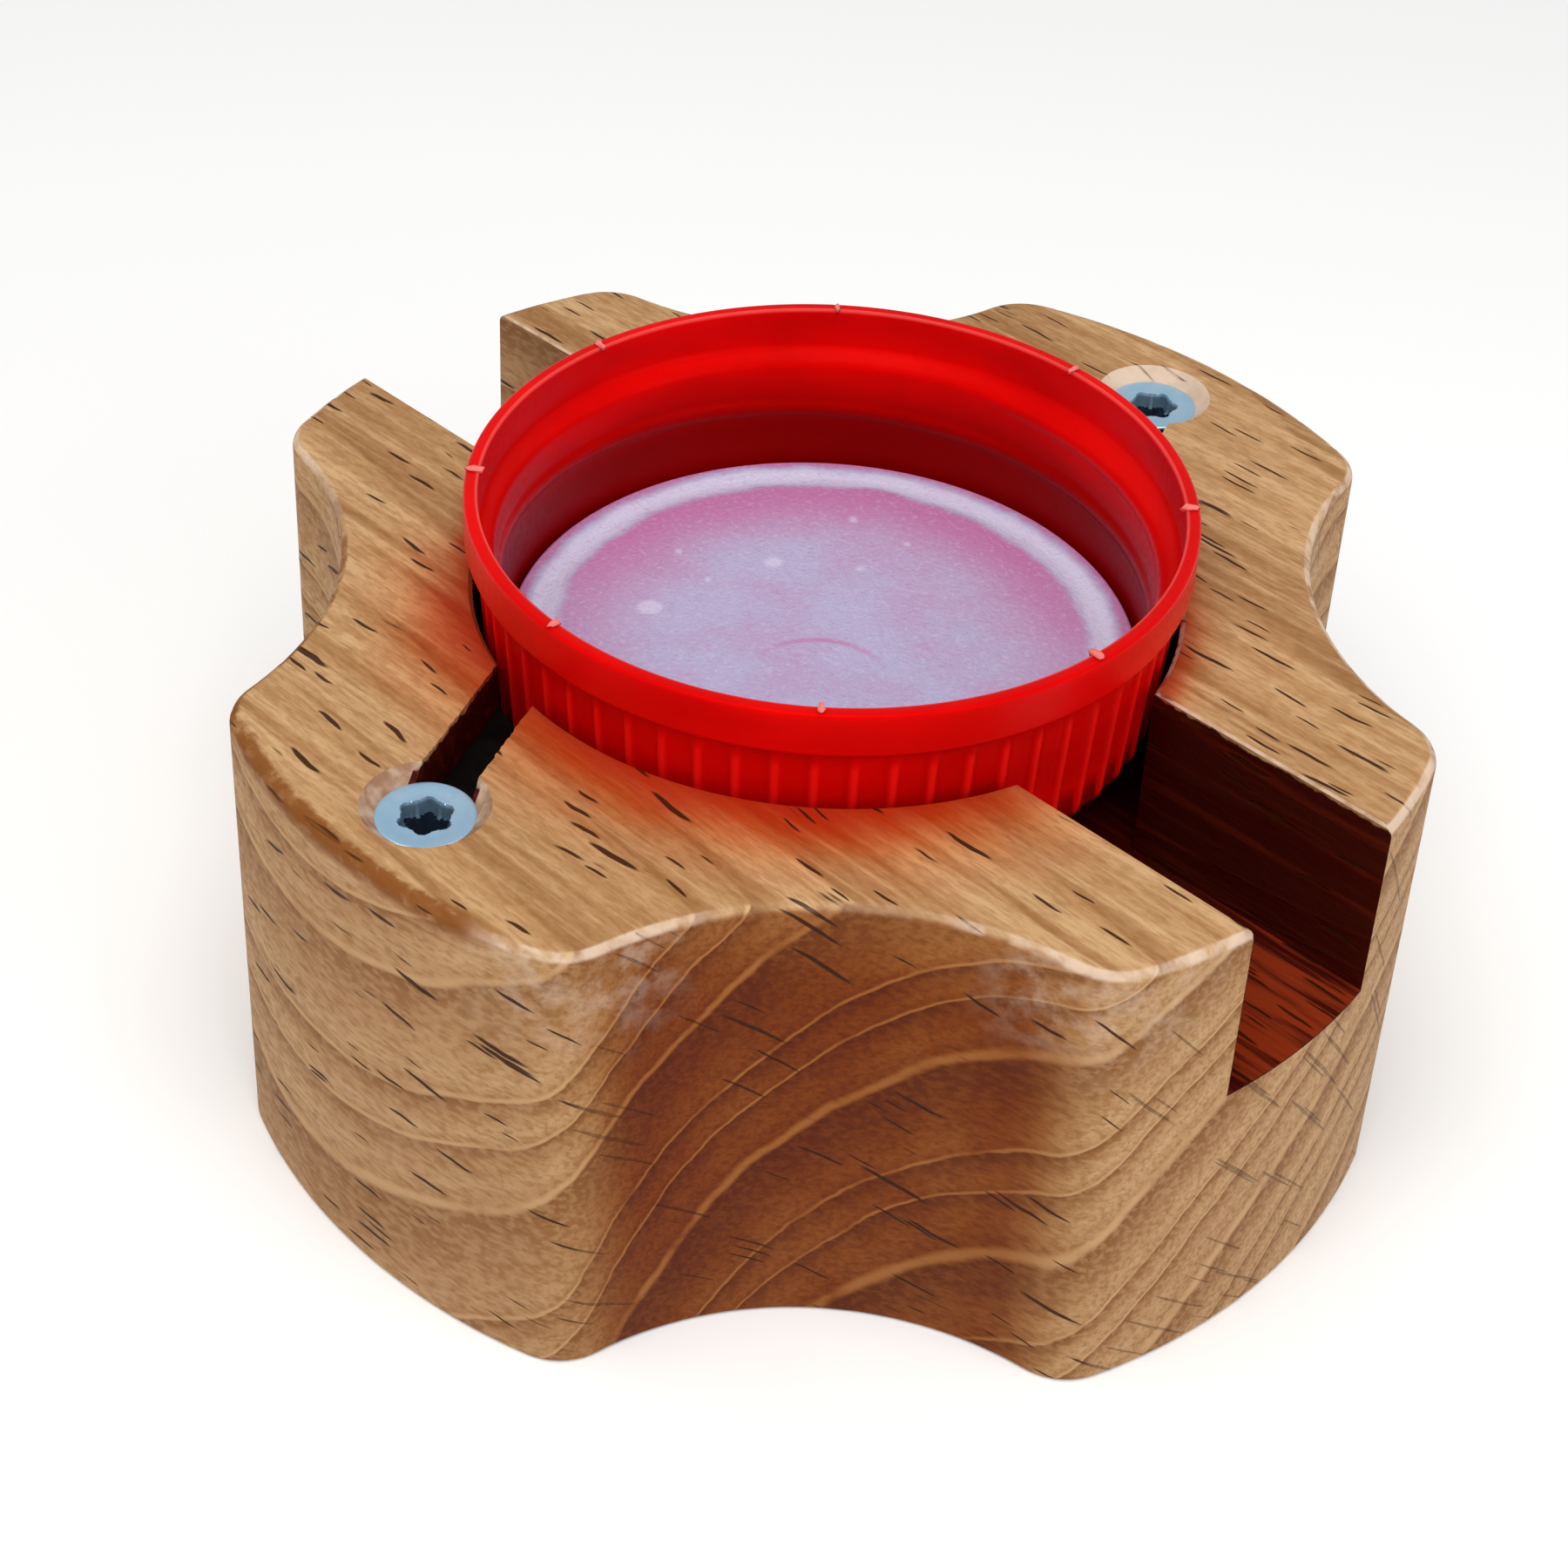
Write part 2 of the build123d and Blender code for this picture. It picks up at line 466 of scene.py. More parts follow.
    def worn_edge(self, nodes: NodeTree) -> Socket:
        """Where the upper edges are rubbed, 1 on a rounded edge and 0 on a face.

        Args:
            nodes: the material's nodes.

        Returns:
            The wear's strength.
        """
        up = nodes.direction[2]
        patchy = nodes.noise(nodes.place(), 420.0, 3.0)
        patchy = nodes.span(patchy, 0.32, 0.60, (0.15, 1.0))
        return nodes.product(nodes.span(up, 0.10, 0.45), nodes.span(up, 0.985, 0.90), patchy)

    def worn_colour(self, nodes: NodeTree, colour: Socket) -> Socket:
        """The rubbed edge's colour: bare and pale at the hollow's horns, brown on the left lobe.

        Args:
            nodes: the material's nodes.
            colour: the wood under the wear.

        Returns:
            The wear's colour.
        """
        turn = nodes.sway(nodes.bearing(), nodes.noise(nodes.place(), 130.0, 3.0), 16.0)
        off = nodes.size(nodes.minus(turn, self.worn_middle))
        pale = nodes.mix(nodes.span(off, 9.0, 18.0, (0.12, 0.80)), colour, self.worn_white)
        left = nodes.product(nodes.span(turn, -64.0, -70.0), nodes.span(turn, -150.0, -130.0))
        return nodes.mix(left, pale, nodes.mix(0.75, colour, self.worn_brown))

    def inside_recess(self, nodes: NodeTree) -> Socket:
        """Which faces the router and the saw left: 1 in the pocket, slot and kerfs.

        Args:
            nodes: the material's nodes.

        Returns:
            The mask.
        """
        block = self.block
        half_slot, half_kerf = block.slot_width / 2, block.kerf_width / 2
        x, y, z = nodes.millimetres
        radius = nodes.reach(x, y)
        slot = nodes.span(nodes.size(y), half_slot + 0.12, half_slot + 0.05)
        slot = nodes.product(slot, nodes.span(x, -46.0, -34.0))
        pocket = nodes.span(radius, block.pocket_radius + 0.5, block.pocket_radius + 0.2)
        lean = math.radians(block.kerf_angle)
        across = nodes.product(nodes.size(y), math.sin(lean))
        across = nodes.minus(across, block.screw_distance * math.sin(lean))
        side = nodes.product(x, nodes.math("SIGN", y), math.cos(lean))
        kerf = nodes.size(nodes.math("ADD", across, side))
        kerf = nodes.product(
            nodes.span(kerf, half_kerf + 0.6, half_kerf + 0.5),
            nodes.span(radius, block.screw_distance + 0.4, block.screw_distance),
        )
        high = nodes.sway(z, nodes.grain((900, 900, 200)), 0.9)
        return nodes.product(
            nodes.most(nodes.most(slot, pocket), kerf),
            nodes.span(z, block.floor - 0.25, block.floor - 0.1),
            nodes.span(high, block.height + 0.15, block.height - 0.15),
        )

    def hollow_stain_and_shade(
        self, nodes: NodeTree, colour: Socket, wall: Socket, line: Socket, cloudy: Socket
    ) -> Socket:
        """Darkens the front hollow: a real stain where fingers hold the block, with painted shade
        and warm bounce light, deepest low in the hollow.

        Args:
            nodes: the material's nodes.
            colour: the clean wood.
            wall: the mask of upright faces.
            line: the pale line of each ring, which takes less stain.
            cloudy: how uneven the stain and painted shade are.

        Returns:
            The wood with its stain and painted shade.
        """
        block = self.block
        x, y, z = nodes.millimetres
        middle = block.scallop_distance * math.sqrt(0.5)
        hollow = nodes.reach(nodes.minus(x, middle), nodes.math("ADD", y, middle))
        hollow = nodes.sway(hollow, cloudy, 4.0)
        # real stain where fingers hold it, plus painted shade and bounce light, stronger low in the
        # hollow
        stain_and_shade_share = nodes.product(
            nodes.span(hollow, block.scallop_radius + 6.5, block.scallop_radius + 2.0),
            nodes.span(nodes.reach(x, y), 57.5, 50.5),
            nodes.span(z, 49.0, 37.0, (0.55, 1.0)),
            wall,
            nodes.span(cloudy, 0.35, 0.68, (1.0, 0.84)),
            nodes.sway(1.0, line, -0.34),
        )
        colour = nodes.tint(stain_and_shade_share, colour, self.oil_and_bounce_filter)
        return nodes.tint(stain_and_shade_share, colour, self.grip_stain_and_shade)

    def paint_cap_red_light(self, nodes: NodeTree, colour: Socket, streaks: Socket, cloudy: Socket) -> Socket:
        """Paints the cap's red light onto the top round the pocket, most of all in front.

        Args:
            nodes: the material's nodes.
            colour: the wood.
            streaks: the grain's streaks.
            cloudy: how uneven the painted red light is.

        Returns:
            The wood with the cap's red light painted on.
        """
        # painted red light from the translucent cap, strongest in front and at the pocket's edge
        x, y, _ = nodes.millimetres
        off_cap = nodes.minus(nodes.reach(x, y), self.block.pocket_radius)
        off_cap = nodes.sway(off_cap, cloudy, -5.0)
        front = nodes.minus(nodes.product(x, 0.30), nodes.product(y, 0.95))
        ahead = nodes.span(front, 6.0, 26.0)
        orange = nodes.product(nodes.span(off_cap, 11.0, -1.5), ahead)
        orange = nodes.most(orange, nodes.span(off_cap, 2.6, -2.6, (0.0, 0.9)))
        orange = nodes.product(orange, nodes.span(streaks, 0.30, 0.62, (1.0, 0.72)))
        colour = nodes.tint(orange, colour, self.cap_light_orange)
        red = nodes.product(nodes.span(off_cap, 5.0, -2.5), ahead)
        red = nodes.most(red, nodes.span(off_cap, 0.6, -2.8, (0.0, 0.85)))
        return nodes.mix(nodes.product(red, 0.92), colour, self.cap_light_red)

    def chafe(self, nodes: NodeTree, colour: Socket, wall: Socket) -> Socket:
        """Whitens the walls under the front hollow's horns and browns the front left lobe's brim.

        Args:
            nodes: the material's nodes.
            colour: the wood.
            wall: the mask of upright faces.

        Returns:
            The chafed wood.
        """
        x, y, z = nodes.millimetres
        turn = nodes.bearing()
        flaky = nodes.noise(nodes.place(), 380.0, 4.0, 0.6)
        off_front = nodes.size(nodes.minus(turn, self.front_middle))
        horn = nodes.product(
            nodes.span(off_front, 12.0, 19.0),
            nodes.span(off_front, 36.0, 25.0),
            nodes.span(z, 33.0, 45.0),
            wall,
            nodes.span(flaky, 0.40, 0.66, (0.0, 0.34)),
        )
        colour = nodes.mix(horn, colour, self.worn_white)
        brim = nodes.sway(nodes.reach(x, y), flaky, 2.4)
        lobe = nodes.product(
            nodes.span(turn, -72.0, -79.0),
            nodes.span(turn, -128.0, -112.0),
            nodes.span(brim, 56.6, 57.4),
            nodes.span(z, 45.2, 46.6),
            nodes.span(flaky, 0.36, 0.52, (0.45, 0.92)),
        )
        return nodes.mix(lobe, colour, self.worn_brown)

    def bare_sinks_and_recess_shade(self, nodes: NodeTree, colour: Socket, inside: Socket) -> Socket:
        """Bares the countersinks and paints shade, reddened by the cap's light, on the faces the
        router and the saw left.

        Args:
            nodes: the material's nodes.
            colour: the wood.
            inside: the mask of the faces the router and the saw left.

        Returns:
            The wood with bare countersinks and painted shade in its recesses.
        """
        block = self.block
        up = nodes.direction[2]
        x, y, z = nodes.millimetres
        off_screw = nodes.reach(x, nodes.minus(nodes.size(y), block.screw_distance))
        sunk = nodes.product(
            nodes.span(off_screw, block.sink_radius + 0.15, block.sink_radius + 0.05),
            nodes.span(up, 0.95, 0.80),
            nodes.span(z, 44.8, 46.8),
        )
        colour = nodes.mix(sunk, colour, self.bare)
        # painted shade in the recesses: near black on the walls, deep red on the floors
        outer = nodes.product(nodes.span(up, 0.4, 0.8), nodes.span(nodes.reach(x, y), 36.0, 52.0))
        fibres = nodes.grain((60, 900, 900), 3.0)
        floor_colour = nodes.mix(nodes.span(fibres, 0.4, 0.62), self.recess_shade, self.recess_floor_shade)
        recess_shade = nodes.mix(outer, self.recess_shade, floor_colour)
        recess_shade = nodes.mix(nodes.span(fibres, 0.48, 0.72, (0.0, 0.22)), recess_shade, self.recess_floor_shade)
        return nodes.mix(nodes.product(inside, 0.985), colour, recess_shade)

    def build(self) -> bpy.types.Material:
        """Makes the material.

        Returns:
            The finished material.
        """
        nodes = NodeTree("beech_oiled")
        grown = self.ring_place(nodes)
        ring = self.rings(nodes, grown)
        end_grain = nodes.size(nodes.direction[0])
        wall = nodes.span(nodes.direction[2], 0.7, 0.3)
        tan, late = self.tan, self.late_wood
        body = nodes.ramp(
            ring, [(0.0, tan), (0.2, self.pale), (0.5, tan), (0.87, late), (0.93, tan)]
        )
        streaks = nodes.grain((11, 560, 300), 3.0, 0.58)
        flat = nodes.mix(0.50, body, tan)
        flat = nodes.mix(nodes.span(streaks, 0.44, 0.64), flat, self.pale)
        flat = nodes.mix(nodes.span(streaks, 0.46, 0.30, (0.0, 0.42)), flat, self.brown)
        shown = nodes.most(nodes.span(end_grain, 0.10, 0.55), nodes.product(wall, 0.75))
        colour = nodes.mix(shown, flat, body)
        patches = nodes.grain((16, 70, 60))
        colour = nodes.mix(nodes.span(patches, 0.40, 0.75, (0.0, 0.34)), colour, self.brown)
        line = nodes.product(
            nodes.span(ring, 0.86, 0.91),
            nodes.span(ring, 1.0, 0.93),
            nodes.span(shown, 0.0, 0.8, (0.10, 0.92)),
            nodes.span(nodes.grain((110, 160, 160), 3.0), 0.30, 0.55, (0.35, 1.0)),
        )

        pores = nodes.grain((500, 2600, 2600), 2.0, 0.6)
        mottle = nodes.grain((700, 1600, 1600))
        coarse = nodes.sway(0.35, wall, 0.65)
        colour = nodes.mix(nodes.span(pores, 0.36, 0.62, (0.42, 0.0)), colour, self.brown)
        light = nodes.product(nodes.span(mottle, 0.42, 0.64, (0.0, 0.34)), coarse)
        dark = nodes.product(nodes.span(mottle, 0.48, 0.32, (0.0, 0.30)), coarse)
        for share, layer in (
            (light, self.pale),
            (dark, self.brown),
            (line, self.ring_line),
            (nodes.product(wall, 0.20), self.brown),
        ):
            colour = nodes.mix(share, colour, layer)

        inside = self.inside_recess(nodes)
        cloudy = nodes.grain((70, 70, 45), 3.0)
        colour = self.hollow_stain_and_shade(nodes, colour, wall, line, cloudy)
        colour = self.paint_cap_red_light(nodes, colour, streaks, cloudy)
        colour = self.chafe(nodes, colour, wall)
        colour = self.bare_sinks_and_recess_shade(nodes, colour, inside)
        ray = self.rays(nodes, grown)
        ray_share = nodes.span(end_grain, 0.80, 0.98, (0.95, 0.40))
        colour = nodes.mix(nodes.product(ray, ray_share), colour, self.ray)
        worn = nodes.product(self.worn_edge(nodes), nodes.minus(1.0, inside))
        nodes.set(
            Base_Color=nodes.mix(worn, colour, self.worn_colour(nodes, colour)),
            Roughness=nodes.sway(nodes.span(pores, 0.35, 0.65, (0.66, 0.50)), worn, 0.14),
            Specular_IOR_Level=nodes.span(inside, 0.0, 1.0, (0.12, 0.01)),
        )
        height = nodes.sway(nodes.product(pores, 0.45), mottle, 0.45)
        height = nodes.sway(nodes.sway(height, line, 0.30), ray, -0.9)
        nodes.bump(height, self.bump_depth)
        return nodes.material


@dataclass(frozen=True)
class BlueZinc:
    """Bright zinc with a pale blue passivation, a little scuffed, and painted shade in the recess.
    """

    colour: Colour = (0.40, 0.66, 0.88)
    stain: Colour = (0.48, 0.70, 0.88)
    # painted shade in the drive recess
    drive_recess_shade: Colour = (0.004, 0.007, 0.014)
    face_height: float = cad_height("screw_front", Level.HIGH)
    screw_distance: float = abs(cad_middle("screw_front").y)
    recess_radius: float = 2.75
    scuff_depth: float = 0.008

    def build(self) -> bpy.types.Material:
        """Makes the material.

        Returns:
            The finished material.
        """
        nodes = NodeTree("zinc_blue")
        place = nodes.place()
        x, y, z = nodes.millimetres
        off_axis = nodes.reach(x, nodes.minus(nodes.size(y), self.screw_distance))
        # painted shade in the drive recess, below the face and most on its floor
        deep = nodes.product(
            nodes.span(z, self.face_height - 0.25, self.face_height - 0.55),
            nodes.span(off_axis, self.recess_radius, self.recess_radius - 0.2),
            nodes.sway(0.55, nodes.span(nodes.direction[2], 0.55, 0.85), 0.45),
        )
        clouds = nodes.noise(place, 420.0, 4.0, 0.6)
        colour = nodes.mix(nodes.span(clouds, 0.35, 0.70), self.colour, self.stain)
        nodes.set(
            Base_Color=nodes.mix(deep, colour, self.drive_recess_shade),
            Specular_IOR_Level=nodes.span(deep, 0.0, 1.0, (0.5, 0.15)),
            Roughness=nodes.span(nodes.noise(place, 5200.0, 3.0), 0.3, 0.7, (0.34, 0.42)),
            Metallic=0.75,
        )
        scuffs = nodes.map(place, (900, 4000, 3000), rotation=(0, 0, 0.6))
        nodes.bump(nodes.noise(scuffs, 1.0), self.scuff_depth)
        return nodes.material


@dataclass(frozen=True)
class BlackRubber:
    """Dull black rubber, darkened further as painted shade in the kerfs, with a fine moulded grain.
    """

    # near black beyond real rubber: painted shade in the kerfs
    dark: Colour = (0.0015, 0.001, 0.001)
    bloom: Colour = (0.004, 0.003, 0.003)
    grain_depth: float = 0.04

    def build(self) -> bpy.types.Material:
        """Makes the material.

        Returns:
            The finished material.
        """
        nodes = NodeTree("rubber_black")
        clouds = nodes.noise(nodes.place(), 300.0, 3.0)
        nodes.set(
            Base_Color=nodes.mix(nodes.span(clouds, 0.4, 0.7), self.dark, self.bloom),
            Roughness=nodes.span(clouds, 0.3, 0.7, (0.62, 0.82)),
            Specular_IOR_Level=0.06,
        )
        nodes.bump(nodes.noise(nodes.place(), 3500.0), self.grain_depth)
        return nodes.material


@dataclass(frozen=True)
class RedPolyethylene:
    """Translucent red cap plastic, paler where it was torn, with painted highlights on the rib
    crests and the rim's inner edge and painted shade low inside.
    """

    deep: Colour = (0.54, 0.0006, 0.0005)
    bright: Colour = (0.66, 0.0010, 0.0008)
    # painted highlight along the rib crests
    rib_highlight: Colour = (0.95, 0.012, 0.008)
    shaded: Colour = (0.13, 0.0002, 0.0002)
    # the torn stubs' own pale colour, also used for the painted highlight along the rim's inner
    # edge
    torn: Colour = (0.95, 0.22, 0.20)
    rim_height: float = 57.5
    skirt: float = 52.1           # height of the collar's foot
    shade_top: float = 51.5       # where the shade inside the cap starts
    shade_foot: float = 44.5
    bore: float = 31.9            # inside of the collar
    rib_count: int = 60
    soft_depth: float = 2.4       # how far light spreads in it
    flow_depth: float = 0.05

    def build(self) -> bpy.types.Material:
        """Makes the material.

        Returns:
            The finished material.
        """
        nodes = NodeTree("polyethylene_red")
        x, y, z = nodes.millimetres
        rim, bore = self.rim_height, self.bore
        radius = nodes.reach(x, y)
        flow = nodes.grain((60, 60, 160), 3.0)
        colour = nodes.mix(nodes.span(flow, 0.35, 0.68), self.deep, self.bright)
        turn = nodes.product(nodes.math("ARCTAN2", y, x), self.rib_count / (2 * math.pi))
        # painted highlight: the rib crests on the skirt made lighter, as where they catch the light
        rib_highlight = nodes.product(
            nodes.span(nodes.math("PINGPONG", turn, 0.5), 0.16, 0.03),
            nodes.span(z, self.skirt - 0.3, self.skirt - 1.5),
            nodes.span(radius, bore - 0.75, bore - 0.55),
            0.5,
        )
        colour = nodes.mix(rib_highlight, colour, self.rib_highlight)
        shade = nodes.product(
            nodes.span(z, self.shade_top, self.shade_foot),
            nodes.span(radius, bore - 0.8, bore - 1.0),
            0.8,
        )
        colour = nodes.mix(shade, colour, self.shaded)
        near_rim = nodes.span(z, rim - 0.42, rim - 0.12)
        # painted highlight along the rim's inner edge; only the stubs are really torn and pale
        edge = nodes.product(near_rim, nodes.span(radius, bore + 0.34, bore + 0.14), 0.25)
        stubs = nodes.product(nodes.span(z, rim + 0.03, rim + 0.12), 0.85)
        grain = nodes.noise(nodes.place(), 1500.0, 3.0)
        nodes.set(
            Base_Color=nodes.mix(nodes.most(edge, stubs), colour, self.torn),
            Roughness=nodes.span(grain, 0.3, 0.7, (0.30, 0.42)),
            IOR=1.50,
            Specular_IOR_Level=0.14,
            Specular_Tint=(1.0, 0.10, 0.09, 1.0),
            Subsurface_Weight=0.45,
            Subsurface_Radius=(1.0, 0.04, 0.03),
            Subsurface_Scale=self.soft_depth * METRES,
        )
        nodes.bump(nodes.math("ADD", flow, nodes.product(grain, 0.2)), self.flow_depth)
        return nodes.material


@dataclass(frozen=True)
class WhiteFoam:
    """White cap-liner foam with the cap's red light painted on as pink, a smooth film and faint
    blotches.
    """

    face: Colour = (0.42, 0.40, 0.60)
    # painted red light from the cap
    cap_light_pink: Colour = (0.46, 0.175, 0.37)
    white: Colour = (0.62, 0.60, 0.76)
    ring_middle: float = 26.4
    blotches: tuple[tuple[float, float, float], ...] = (      # X, Y and radius
        (-13.9, -8.9, 1.1), (-11.4, 5.1, 0.9), (-13.6, -1.6, 0.35), (-18.7, -0.5, 0.3),
        (-11.1, 16.0, 0.45), (-4.7, 16.9, 0.3), (-5.1, 10.6, 0.3),
    )
    dent: tuple[float, float, float] = (5.0, -5.5, 6.8)       # X, Y and radius of a bottle's mark
    soft_depth: float = 0.9
    pore_depth: float = 0.16

    def build(self) -> bpy.types.Material:
        """Makes the material.

        Returns:
            The finished material.
        """
        nodes = NodeTree("foam_white")
        place = nodes.place()
        x, y, _ = nodes.millimetres
        ring = self.ring_middle
        ragged = nodes.grain((170, 170, 40), 4.0, 0.6)
        radius = nodes.sway(nodes.reach(x, y), nodes.minus(ragged, 0.5), 2.2)
        pressed = nodes.product(
            nodes.span(radius, ring - 1.7, ring - 0.6), nodes.span(radius, ring + 1.8, ring + 0.9)
        )
        # painted red light and shade from the cap's wall inside the pressed ring, strongest at the
        # back left
        shade = nodes.product(
            nodes.span(radius, ring - 13.0, ring - 2.6), nodes.span(radius, ring - 1.2, ring - 2.2)
        )
        away = nodes.minus(nodes.product(y, 0.75), nodes.product(x, 0.65))
        away = nodes.span(away, -14.0, 16.0, (0.25, 1.0))
        # uneven patches of the cap's painted red light
        clouds = nodes.span(nodes.noise(place, 120.0, 4.0), 0.36, 0.70, (0.0, 0.30))
        colour = nodes.mix(clouds, self.face, self.cap_light_pink)
        colour = nodes.mix(nodes.product(shade, away), colour, self.cap_light_pink)
        # painted red light from the cap's wall near the liner's edge
        colour = nodes.mix(nodes.span(radius, ring + 1.6, ring + 2.4), colour, self.cap_light_pink)
        for across, along, size in self.blotches:
            off = nodes.reach(nodes.minus(x, across), nodes.minus(y, along))
            off = nodes.sway(off, ragged, 1.2)
            blotch = nodes.product(nodes.span(off, size + 0.9, size + 0.2), 0.62)
            colour = nodes.mix(blotch, colour, self.white)
        off = nodes.reach(nodes.minus(x, self.dent[0]), nodes.minus(y, self.dent[1]))
        off = nodes.size(nodes.minus(off, self.dent[2]))
        dent = nodes.product(nodes.span(off, 0.55, 0.10), nodes.span(away, 0.42, 0.58))
        fine = nodes.noise(place, 1700.0, 4.0, 0.7)
        for share, layer in (
            # the cap's painted red light in the dent and in fine specks
            (nodes.product(dent, 0.70), self.cap_light_pink),
            (nodes.product(pressed, 0.72), self.white),
            (nodes.span(fine, 0.46, 0.34, (0.0, 0.24)), self.cap_light_pink),
            (nodes.span(fine, 0.52, 0.66, (0.0, 0.22)), self.white),
        ):
            colour = nodes.mix(share, colour, layer)
        pores = nodes.noise(place, 2200.0, 3.0, 0.6)
        nodes.set(
            Base_Color=colour,
            Roughness=nodes.span(pores, 0.3, 0.7, (0.46, 0.60)),
            Specular_IOR_Level=0.30,
            Subsurface_Weight=0.35,
            Subsurface_Radius=(1.0, 0.55, 0.6),
            Subsurface_Scale=self.soft_depth * METRES,
        )
        nodes.bump(pores, self.pore_depth)
        return nodes.material


@dataclass(frozen=True)
class PaleFloor:
    """A plain matt white floor."""

    colour: Colour = (0.93, 0.93, 0.93)

    def build(self) -> bpy.types.Material:
        """Makes the material.

        Returns:
            The finished material.
        """
        nodes = NodeTree("floor_matt_white")
        nodes.set(Base_Color=(*self.colour, 1.0), Roughness=0.85, Specular_IOR_Level=0.1)
        return nodes.material


# ---------------------------------------------------------------- mesh tools


class Workshop:
    """Turns a bmesh in millimetres into a finished piece of the object."""

    @staticmethod
    def clean(mesh: bmesh.types.BMesh) -> None:
        """Merges doubles and turns every face outwards."""
        bmesh.ops.remove_doubles(mesh, verts=mesh.verts, dist=MERGE)
        bmesh.ops.recalc_face_normals(mesh, faces=mesh.faces)

    @staticmethod
    def close(mesh: bmesh.types.BMesh) -> None:
        """Fills the open ends of a shell and cleans it.

        Args:
            mesh: the shell's bmesh.
        """
        open_edges = [edge for edge in mesh.edges if edge.is_boundary]
        bmesh.ops.holes_fill(mesh, edges=open_edges, sides=0)
        Workshop.clean(mesh)

    @staticmethod
    def to_object(mesh: bmesh.types.BMesh, name: str) -> bpy.types.Object:
        """Writes a bmesh to a new object, in metres.

        Args:
            mesh: the bmesh, which is freed.
            name: the object's name.

        Returns:
            The new object, at the origin.
        """
        bmesh.ops.scale(mesh, vec=(METRES,) * 3, verts=mesh.verts)
        data = bpy.data.meshes.new(name)
        mesh.to_mesh(data)
        mesh.free()
        piece = bpy.data.objects.new(name, data)
        bpy.context.scene.collection.objects.link(piece)
        return piece

    @staticmethod
    def cut(piece: bpy.types.Object, cutters: Iterable[bpy.types.Object]) -> None:
        """Cuts pieces out of another and removes the cutters.

        Args:
            piece: what is cut.
            cutters: closed objects, taken away one after the other.
        """
        for cutter in cutters:
            modifier = piece.modifiers.new("cut", "BOOLEAN")
            modifier.operation = "DIFFERENCE"
            modifier.solver = "EXACT"
            modifier.object = cutter
            graph = bpy.context.evaluated_depsgraph_get()
            result = bpy.data.meshes.new_from_object(piece.evaluated_get(graph))
            piece.modifiers.clear()
            old = piece.data
            piece.data = result
            bpy.data.meshes.remove(old)
            bpy.data.objects.remove(cutter)

    @staticmethod
    def smooth(piece: bpy.types.Object, sharp_from: float) -> None:
        """Shades a piece smooth, with edges over an angle left sharp.

        Args:
            piece: the piece.
            sharp_from: the angle in degrees.
        """
        piece.data.shade_smooth()
        piece.data.set_sharp_from_angle(angle=math.radians(sharp_from))

    @staticmethod
    def dress(
        piece: bpy.types.Object, material: bpy.types.Material, slot: Slot, body: Body, *nodes: str
    ) -> None:
        """Gives a piece its finish, body and the CAD nodes it stands for.

        Args:
            piece: the piece.
            material: its material.
            slot: the record's slot for it; not used.
            body: what it moves with.
            nodes: the CAD nodes it replaces.
        """
        piece.data.materials.clear()
        piece.data.materials.append(material)
        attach(piece, body.value)
        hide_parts(*nodes)
        LOG.info("%s: %d faces, on %s", piece.name, len(piece.data.polygons), body.value)


def spun(profile: Sequence[Point], steps: int) -> bmesh.types.BMesh:
    """Turns an open profile round the Z axis into a closed shell.

    Args:
        profile: radius and height of each point, from axis to axis.
        steps: how many sides it has.

    Returns:
        The shell.
    """
    mesh = bmesh.new()
    points = [mesh.verts.new((radius, 0.0, height)) for radius, height in profile]
    edges = [mesh.edges.new(pair) for pair in zip(points, points[1:])]
    bmesh.ops.spin(
        mesh,
        geom=points + edges,
        cent=(0, 0, 0),
        axis=(0, 0, 1),
        angle=2 * math.pi,
        steps=steps,
        use_merge=True,
    )
    Workshop.clean(mesh)
    return mesh


def arc(centre: Point, radius: float, start: float, end: float, steps: int) -> list[Point]:
    """Points along an arc of a profile.

    Args:
        centre: radius and height of its middle.
        radius: the arc's own radius.
        start: first angle in degrees, 0 outwards and 90 up.
        end: last angle.
        steps: how many parts it has.

    Returns:
        The arc's points, both ends included.
    """
    angles = [math.radians(start + (end - start) * index / steps) for index in range(steps + 1)]
    return [(centre[0] + radius * math.cos(a), centre[1] + radius * math.sin(a)) for a in angles]


def run(start: Point, end: Point, steps: int) -> list[Point]:
    """Even points on a straight stretch of a profile, without its two ends."""
    shares = [index / steps for index in range(1, steps)]
    return [tuple(a + (b - a) * share for a, b in zip(start, end)) for share in shares]


# ---------------------------------------------------------------- sub-assemblies


